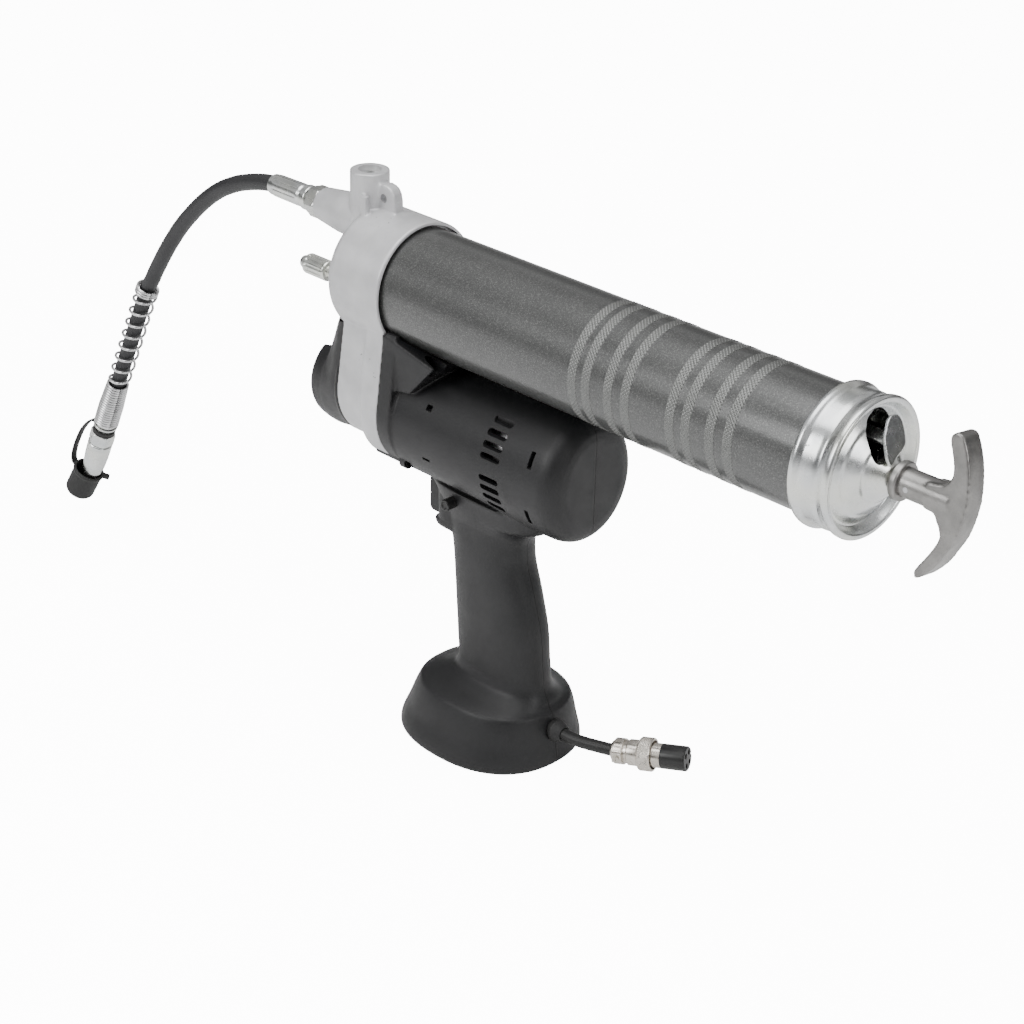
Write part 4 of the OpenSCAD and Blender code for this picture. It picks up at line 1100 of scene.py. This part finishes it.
def make_strap():
    """A ring round the coupler and the flat strap that holds the dust cap."""
    bm = bmesh.new()
    line = spline([(-p[0], 0, p[1]) for p in STRAP_LINE], 6)
    rings = []
    for p, t in zip(line, directions(line)):
        flat = Vector((0, 1, 0))
        thick = t.cross(flat)
        thick = thick if thick.dot(Vector((-1, 0, 0))) >= 0 or t.x > 0 else -thick
        lift = 0.6
        ring = []
        for j in range(20):
            a = TAU * j / 20
            y = 2.1 * math.copysign(abs(math.cos(a)) ** 0.5, math.cos(a))
            w = 0.62 * math.copysign(abs(math.sin(a)) ** 0.7, math.sin(a))
            ring.append(COUPLER @ (p + flat * y + thick * (w + lift)))
        rings.append(ring)
    loft(bm, rings)
    strap = to_object("cap_tether", bm)
    torus = bmesh.new()
    loop = eased([(12.6, 5.25), (12.6, 6.5), (15.1, 6.5), (15.1, 5.25), (12.6, 5.25)], 0.5)
    rows = revolve(torus, loop[:-1], COUPLER, 96)
    for j in range(96):
        k = (j + 1) % 96
        torus.faces.new((rows[-1][j], rows[-1][k], rows[0][k], rows[0][j]))
    outward(torus)
    band = to_object("cap_tether_ring", torus)
    dress(strap, "black_rubber", None)
    dress(band, "black_rubber")
    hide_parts("cap_strap")
    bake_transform(strap)
    return strap, band


# ---------------------------------------------------------------- connector

def make_connector():
    def body_skin(t, a, r):
        if 8.8 < a < 13.8 and r > 6.2:
            return min(r, 6.15 / max(0.96, abs(math.cos(2 * t)) ** 0.08))
        return r

    shell = turned_piece("plug_barrel", [
        (0, 3.3), (0, 4.6), (1, 5.2), (4.4, 5.2), (5.2, 5.6), (8.4, 5.6), (8.8, 6.4), (13.8, 6.4),
        (13.8, 6), (25.4, 6), (25.4, 5.42), (21, 5.42), (21, 3.3)], PLUG, 0.25, 120, ring=True)
    dress(shell, "nickel_plate")
    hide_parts("plug_shell")

    bm = bmesh.new()
    revolve(bm, eased([(1.6, 0), (1.6, 6.4), (6.6, 6.4), (6.6, 0)], 0.3), PLUG, 96)
    add_box(bm, -2.6, 2.6, -7.2, 7.2, 1.6, 6.6, PLUG)
    clamp = melted(bm, 0.24, 4)
    carved(clamp, [cylinder_cut(PLUG, 0, 8, 5.6)])
    dress(finished(clamp, "plug_saddle", 45), "nickel_plate")
    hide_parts("plug_clamp")
    for k, s in enumerate((-1, 1)):
        place = PLUG @ Matrix.Translation((0, s * 6.2, 4.1)) @ Matrix.Rotation(-s * math.pi / 2, 4, "X")
        screw = turned_piece(f"saddle_screw_{k + 1}", [(0, 0), (0, 1.0), (1.0, 1.0), (1.0, 1.6), (1.7, 1.5), (1.9, 0.9), (1.9, 0)],
                             place, 0.15, 40)
        screw.data.transform(Matrix.Scale(1 / MM, 4))
        carved(screw, [box_cut(-2, 2, -0.2, 0.2, 1.4, 3, place)])
        dress(finished(screw, f"saddle_screw_{k + 1}"), "nickel_plate")

    def knurl(t, a, r):
        if r < 8.1 or not 15.1 < a < 20.3:
            return r
        return r - 0.26 * (1 - diamond(t / TAU, a, 44, 1.25))

    ring = turned_piece("plug_nut", [
        (14, 6.05), (14, 7.4), (14.9, 8.25), (20.5, 8.25), (21, 7.8), (21, 7.05), (17, 7.05), (17, 6.05)],
        PLUG, 0.15, 352, knurl, step=0.22, ring=True)
    dress(ring, "nickel_plate", "plug_ring")
    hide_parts("coupling_ring")

    insert = turned_piece("plug_block", [
        (21, 0), (21, 5.38), (25.4, 5.38), (25.4, 6.1), (37.6, 6.1), (38, 5.7), (38, 0)], PLUG, 0.3, 96)
    insert.data.transform(Matrix.Scale(1 / MM, 4))
    holes = [cylinder_cut(PLUG @ Matrix.Translation((x, y, 0)), 29, 40, 1.35, 40)
             for x in (-2.6, 2.6) for y in (-2.2, 2.2)]
    holes.append(box_cut(-0.8, 0.8, 4.9, 7.9, 28, 40, PLUG))
    carved(insert, holes)
    dress(finished(insert, "plug_block", 40), "black_plastic")
    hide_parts("plug_insert")
    contacts = []
    for x in (-2.6, 2.6):
        for y in (-2.2, 2.2):
            contact = turned_piece(f"plug_contact_{len(contacts) + 1}", [
                (29.2, 0), (29.2, 1.25), (36.9, 1.25), (36.9, 0.8), (31, 0.8), (31, 0)],
                PLUG @ Matrix.Translation((x, y, 0)), 0.08, 32)
            contacts.append(dress(contact, "nickel_plate"))
    return contacts


def make_grommet():
    grommet = turned_piece("cable_boot", [
        (-51, 3.12), (-51, 3.9), (-48.6, 4.8), (-46.3, 5.6), (-45.3, 5.6), (-45.3, 4.95),
        (-39.4, 4.95), (-39.4, 6.4), (-37, 6.4), (-37, 3.12)], along_x(0, 19.5), 0.3, 80, ring=True)
    dress(grommet, "black_rubber")
    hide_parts("cable_grommet")


# ---------------------------------------------------------------- housing

GRIP_RINGS = [
    (0, 0, 44.4, 37.7, 2.3), (0.8, 0, 45.8, 39.1, 2.3), (2.2, 0, 46.4, 39.7, 2.3),
    (14, -1.4, 43.6, 36, 2.35), (27, -3, 39.8, 31.6, 2.4), (28.5, -3.2, 39, 30.6, 2.4),
    (29.2, -3.4, 37.8, 29.2, 2.4), (33, -7, 32.4, 20.6, 2.4), (37, -9.3, 28, 15.6, 2.5),
    (42, -9.2, 26.9, 14.4, 2.5), (52, -8.2, 26.8, 14.3, 2.5), (64, -7.2, 26.7, 14.3, 2.5),
    (86, -3.6, 24.6, 14.3, 2.5), (103, -0.1, 22.6, 14.3, 2.5), (108, 0.6, 22.9, 14.3, 2.5),
    (113, 1.2, 23.6, 14.3, 2.5), (117, 1.2, 25.4, 14.3, 2.5), (121, -0.2, 28, 14.8, 2.6),
    (125, -3.4, 33.6, 15.6, 2.8), (134, -3, 40, 17, 3)]
LEDGE_RINGS = [
    (106.8, 16, 9, 8, 4), (108.4, 18, 14.4, 11.6, 4), (111.2, 18.4, 15, 12, 4), (112.2, 17.6, 13, 12, 4),
    (131, 17.6, 13, 12.6, 4)]
BAY_RINGS = [
    (3, 0, 43, 36.4, 2.3), (14, -1.4, 40.6, 33, 2.35), (25.6, -3, 36.8, 28.6, 2.4),
    (31, -7, 29.6, 18, 2.4), (37, -9.3, 25, 12.6, 2.5), (52, -8.2, 24, 11.6, 2.5),
    (64, -7.2, 23.9, 11.6, 2.5), (86, -3.6, 21.8, 11.6, 2.5), (104, -0.1, 19.8, 11.6, 2.5),
    (117, 2, 22, 11.6, 2.5), (125, -1, 25, 12.4, 2.6), (137, -1, 26, 12.6, 3)]
BODY_RINGS = [
    (41.4, 161, 29.7, 29.7), (4, 161, 29.7, 29.7), (-14, 160.8, 29.6, 30.2), (-26, 160.5, 29.4, 31.2),
    (-38, 160.3, 29.2, 31.9), (-48, 160.3, 29, 32), (-54, 160.3, 28.8, 31.8), (-58, 160.3, 27.8, 30.8),
    (-61, 160.3, 25.6, 28.6), (-63.2, 160.3, 22.4, 25.4), (-64, 160.3, 18.6, 21.6)]
VENT_Z = (184, 178.8, 173.6, 168.4, 157.4, 152.2, 147, 141.8)


def superellipse(a, b, power, n):
    out = []
    for i in range(n):
        t = TAU * (i + 0.5) / n
        c = math.cos(t)
        s = math.sin(t)
        out.append((a * math.copysign(abs(c) ** (2 / power), c), b * math.copysign(abs(s) ** (2 / power), s)))
    return out


def monotone(rows, per_stretch):
    """Fills in between rows of numbers along a curve that doesn't overshoot."""
    n = len(rows)
    slopes = []
    for k in range(1, len(rows[0])):
        d = [(rows[i + 1][k] - rows[i][k]) / (rows[i + 1][0] - rows[i][0]) for i in range(n - 1)]
        m = [d[0]]
        for i in range(1, n - 1):
            m.append(0 if d[i - 1] * d[i] <= 0 else 2 * d[i - 1] * d[i] / (d[i - 1] + d[i]))
        m.append(d[-1])
        slopes.append(m)
    out = []
    for i in range(n - 1):
        h = rows[i + 1][0] - rows[i][0]
        for j in range(per_stretch):
            t = j / per_stretch
            row = [rows[i][0] + h * t]
            for k, m in enumerate(slopes, 1):
                row.append(rows[i][k] * (1 + 2 * t) * (1 - t) ** 2 + m[i] * h * t * (1 - t) ** 2
                           + rows[i + 1][k] * t * t * (3 - 2 * t) + m[i + 1] * h * t * t * (t - 1))
            out.append(row)
    out.append(list(rows[-1]))
    return out


def grip_skin(bm, rings, points):
    loft(bm, [[(x + p[0], p[1], z) for p in superellipse(a, b, e, points)]
              for z, x, a, b, e in monotone(rings, 5)])


def body_skin(bm):
    rows = monotone([(-r[0], *r[1:]) for r in BODY_RINGS], 5)
    loft(bm, [[(-x, ry * math.cos(TAU * i / 120), z + rz * math.sin(TAU * i / 120)) for i in range(120)]
              for x, z, ry, rz in rows])


def slot_cut(x, z, side, half, r):
    """A slot with round ends through one flank."""
    bm = bmesh.new()
    outline = arc(x + half, z, r, -90, 90, 8) + arc(x - half, z, r, 90, 270, 8)
    add_plate(bm, outline, -side * 26 - 8, -side * 26 + 8, xz_plane())
    return bm


def housing_cuts():
    motor_axis = along_x(0, MOTOR_Z)
    bay = bmesh.new()
    grip_skin(bay, BAY_RINGS, 60)
    cuts = [
        cylinder_cut(motor_axis, -54, 40, 27, 120),
        cylinder_cut(motor_axis, -61, -53, 20, 120),
        cylinder_cut(motor_axis, 36, 60, 23.3, 120),
        bay,
        box_cut(16, 60, -7.9, 7.9, 111.6, 131.5),
        cylinder_cut(along_x(0, 19.5), -60, -30, 5),
        cylinder_cut(along_y(13, 127.6), 5, 30, 2.95, 48),
        cylinder_cut(along_x(0, AXIS_Z), 0, 60, BARREL_R + 0.4, 160),
        cylinder_cut(along_x(0, AXIS_Z), 49, 70, COLLAR_R + 0.4, 160)]
    for side in (-1, 1):
        for z in VENT_Z:
            cuts.append(slot_cut(-24, z, side, 4.6, 1.5))
        low = side * 28 - 8
        high = side * 28 + 8
        cuts.append(box_cut(-49, -46.6, low, high, 171, 178.5))
        cuts.append(box_cut(-48, -45.6, low, high, 142, 149.5))
        cuts.append(box_cut(18.4, 22, low, high, 176, 178.6))
        cuts.append(box_cut(16, 21, low, high, 151.6, 153))
    for y, z, seat in FLANGE_SCREWS:
        cuts.append(cylinder_cut(along_x(y, z), 14 if z > MOTOR_Z else 34.5, seat, 4.4, 48))
        cuts.append(cylinder_cut(along_x(y, z), 40, 60, 2.05, 32))
    return cuts


SHELL_SCREWS = ((-12, 92, 12.6), (-20, 50, 12.6), (27, 14, 29), (-28, 14, 29), (-26, 131, 10),
                (-57, 137, 13), (-55, 183.4, 12))
SEAM = 0.09


def make_housing():
    bm = bmesh.new()
    grip_skin(bm, GRIP_RINGS, 144)
    grip_skin(bm, LEDGE_RINGS, 96)
    body_skin(bm)
    add_plate(bm, drop(31, 163, 26, 207), 42, 51, yz_plane())
    # fairing that runs back from the flange under the barrel
    add_plate(bm, [(51, 177.3), (32.2, 181), (16, 198.6), (46.5, 205.3), (51, 206)], -27, 27, xz_plane())
    skin = melted(bm, 0.62, 6)
    carved(skin, housing_cuts())
    for side, name, node in ((1, "shell_left", "housing_left"), (-1, "shell_right", "housing_right")):
        half = skin.copy()
        half.data = skin.data.copy()
        bpy.context.scene.collection.objects.link(half)
        low = SEAM if side > 0 else -60
        high = 60 if side > 0 else -SEAM
        keep = box_cut(-80, 60, low, high, -5, 220)
        outward(keep)
        carved(half, [keep], "INTERSECT")
        if side < 0:
            carved(half, [cylinder_cut(along_y(x, z), -60, -8, 3.2, 40) for x, z, d in SHELL_SCREWS])
        dress(finished(half, name, 40), "black_nylon")
        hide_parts(node)
    bpy.data.objects.remove(skin)


NOSE_SECTIONS = [
    (80, 29, 167.5, 23.4, 204), (86, 28.2, 166.5, 21.8, 203), (92, 26.8, 163.8, 18, 198),
    (97, 25.6, 162, 14.6, 191), (99, 25, 161.5, 12.8, 183), (100.5, 24.7, 161.2, 12.8, 179),
    (104, 24, 161, 12.4, 178), (107, 23.2, 160.8, 11.6, 176.6), (109, 21.6, 160.6, 10.4, 174.6),
    (110.4, 18.6, 160.4, 8, 171.4)]


def make_nose():
    bm = bmesh.new()
    rows = monotone(NOSE_SECTIONS, 4)
    loft(bm, [[(x, *p) for p in drop(r, zc, yt, zt)] for x, r, zc, yt, zt in rows])
    add_plate(bm, drop(29.6, 167.5, 20, 196), 80, 82.5, yz_plane())
    nose = melted(bm, 0.6, 6)
    cuts = [
        cylinder_cut(along_x(0, AXIS_Z), 76, 86.8, COLLAR_R + 0.3, 120),
        cylinder_cut(along_x(0, MOTOR_Z), 79, 106.5, 20, 96),
        cylinder_cut(along_z(PUMP_X), 168, 215, PUMP_R + 0.3, 96),
        box_cut(78, PUMP_X, -PUMP_R - 0.3, PUMP_R + 0.3, 168, 215)]
    for y, z in NOSE_SCREWS:
        cuts.append(cylinder_cut(along_x(y, z), 78, 130, 1.7, 32))
        cuts.append(cylinder_cut(along_x(y, z), 94, 130, 3.4, 40))
    carved(nose, cuts)
    dress(finished(nose, "nose_moulding", 40), "black_nylon")
    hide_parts("nose_cap")


TRIGGER_OUTLINE = [
    (26, 112.4), (33, 112), (35.8, 112.2), (37.4, 113.4), (38.6, 117), (39.4, 121),
    (40.6, 126), (41, 129), (39.8, 130.6), (36, 131), (26, 131)]


def make_trigger():
    bm = bmesh.new()
    add_plate(bm, TRIGGER_OUTLINE, -7.5, 7.5, xz_plane())
    keep = bmesh.new()
    add_cylinder(keep, along_z(31.6), 108, 135, 9.4, 96)
    body = bmesh.new()
    add_box(body, 25, 31.6, -7.5, 7.5, 108, 135)
    blade = scratch(bm)
    outward(keep)
    outward(body)
    shape = scratch(keep)
    carved(shape, [body], "UNION")
    mod = blade.modifiers.new("trim", "BOOLEAN")
    mod.operation = "INTERSECT"
    mod.solver = "MANIFOLD"
    mod.object = shape
    baked(blade)
    bpy.data.objects.remove(shape)
    skin = blade.modifiers.new("skin", "REMESH")
    skin.mode = "VOXEL"
    skin.voxel_size = 0.35
    soft = blade.modifiers.new("soft", "SMOOTH")
    soft.factor = 0.5
    soft.iterations = 6
    baked(blade)
    carved(blade, [box_cut(20, 33, -2.4, 2.4, 118.6, 123.4)])
    dress(finished(blade, "trigger_blade"), "black_nylon", "trigger_body")
    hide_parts("trigger")
    button = turned_piece("lock_pin", [
        (8.6, 0), (8.6, 3.55), (10.2, 3.55), (10.2, 2.85), (21.1, 2.85), (21.5, 2.5), (21.5, 1.9), (20.9, 1.5), (20.9, 0)],
        along_y(13, 127.6), 0.2, 64)
    dress(button, "black_plastic", "lock")
    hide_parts("lock_button")


# ---------------------------------------------------------------- stage

def make_stage():
    bm = bmesh.new()
    half = 6.0
    corners = [bm.verts.new((x, y, 0)) for x, y in ((-half, -half), (half, -half), (half, half), (-half, half))]
    bm.faces.new(corners)
    mesh = bpy.data.meshes.new("floor")
    bm.to_mesh(mesh)
    bm.free()
    floor = bpy.data.objects.new("floor", mesh)
    bpy.context.scene.collection.objects.link(floor)
    floor.location.z = -0.0002
    mat, tree, shader, coords = principled("floor_white")
    shader.inputs["Base Color"].default_value = (0.93, 0.93, 0.93, 1)
    shader.inputs["Roughness"].default_value = 0.9
    shader.inputs["Emission Color"].default_value = (1, 1, 1, 1)
    # the paper glows to the eye more than it lights the tool
    ray = tree.nodes.new("ShaderNodeLightPath").outputs["Is Camera Ray"]
    glow = tree.nodes.new("ShaderNodeMapRange")
    glow.inputs["To Min"].default_value = 0.10
    glow.inputs["To Max"].default_value = 12.0
    tree.links.new(ray, glow.inputs["Value"])
    tree.links.new(glow.outputs["Result"], shader.inputs["Emission Strength"])
    floor.data.materials.append(mat)


def area_light(name, at, aim, size, power, size_y=None):
    data = bpy.data.lights.new(name, "AREA")
    data.energy = power
    data.size = size
    if size_y:
        data.shape = "RECTANGLE"
        data.size_y = size_y
    light = bpy.data.objects.new(name, data)
    bpy.context.scene.collection.objects.link(light)
    place = Vector(at)
    direction = Vector(aim) - place
    light.matrix_world = Matrix.Translation(place) @ direction.to_track_quat("-Z", "Y").to_matrix().to_4x4()


def make_light():
    world = bpy.data.worlds.new("studio")
    bpy.context.scene.world = world
    world.use_nodes = True
    tree = world.node_tree
    background = tree.nodes["Background"]
    # a room with dim walls, a bright band and a soft ceiling, so that metal has something to reflect
    way = tree.nodes.new("ShaderNodeTexCoord").outputs["Generated"]
    split = tree.nodes.new("ShaderNodeSeparateXYZ")
    tree.links.new(way, split.inputs["Vector"])
    room = ramp(tree, split.outputs["Z"], [(0.0, 0.30), (0.10, 0.10), (0.30, 0.14), (0.46, 0.95),
                                           (0.62, 0.40), (0.80, 0.75), (1.0, 0.95)])
    tree.links.new(room, background.inputs["Color"])
    background.inputs["Strength"].default_value = 0.80
    area_light("overhead", (0.0, 0.2, 1.7), (0, 0, 0.15), 1.6, 24, 1.2)
    area_light("left_box", (0.5, 1.5, 1.0), (0, 0, 0.18), 0.8, 14, 0.8)
    area_light("rear_box", (-1.6, 0.1, 0.9), (0, 0, 0.2), 0.7, 8, 0.7)


# ---------------------------------------------------------------- the tool

make_camera()
materials = make_materials()
hose, hose_line = make_hose()
cable, cable_line = make_cable()
guard = make_guard(hose_line)
make_coupler()
make_dust_cap()
strap, strap_band = make_strap()
contacts = make_connector()
make_grommet()
make_barrel()
make_end_cap()
make_latch()
make_handle()
make_follower_spring()
make_head()
make_top_plug()
make_outlet()
make_bleeder()
make_housing()
make_nose()
make_trigger()
small_coil("check_coil", "check_spring", 110.5, 116.6, 2.2, 0.3, 6, 0, 245)
small_coil("bleeder_coil", "bleeder_spring", 100, 104.5, 3.0, 0.3, 5, 23.5, 224.5)
small_coil("trigger_coil", "trigger_spring", 15.2, 26, 1.9, 0.3, 7, 0, 115.4)

for entry in frame["record"]["subparts"]:
    piece = nodes[entry["node"]]
    piece.data.materials.clear()
    piece.data.materials.append(materials[entry["material_slot"]])

make_stage()
make_light()
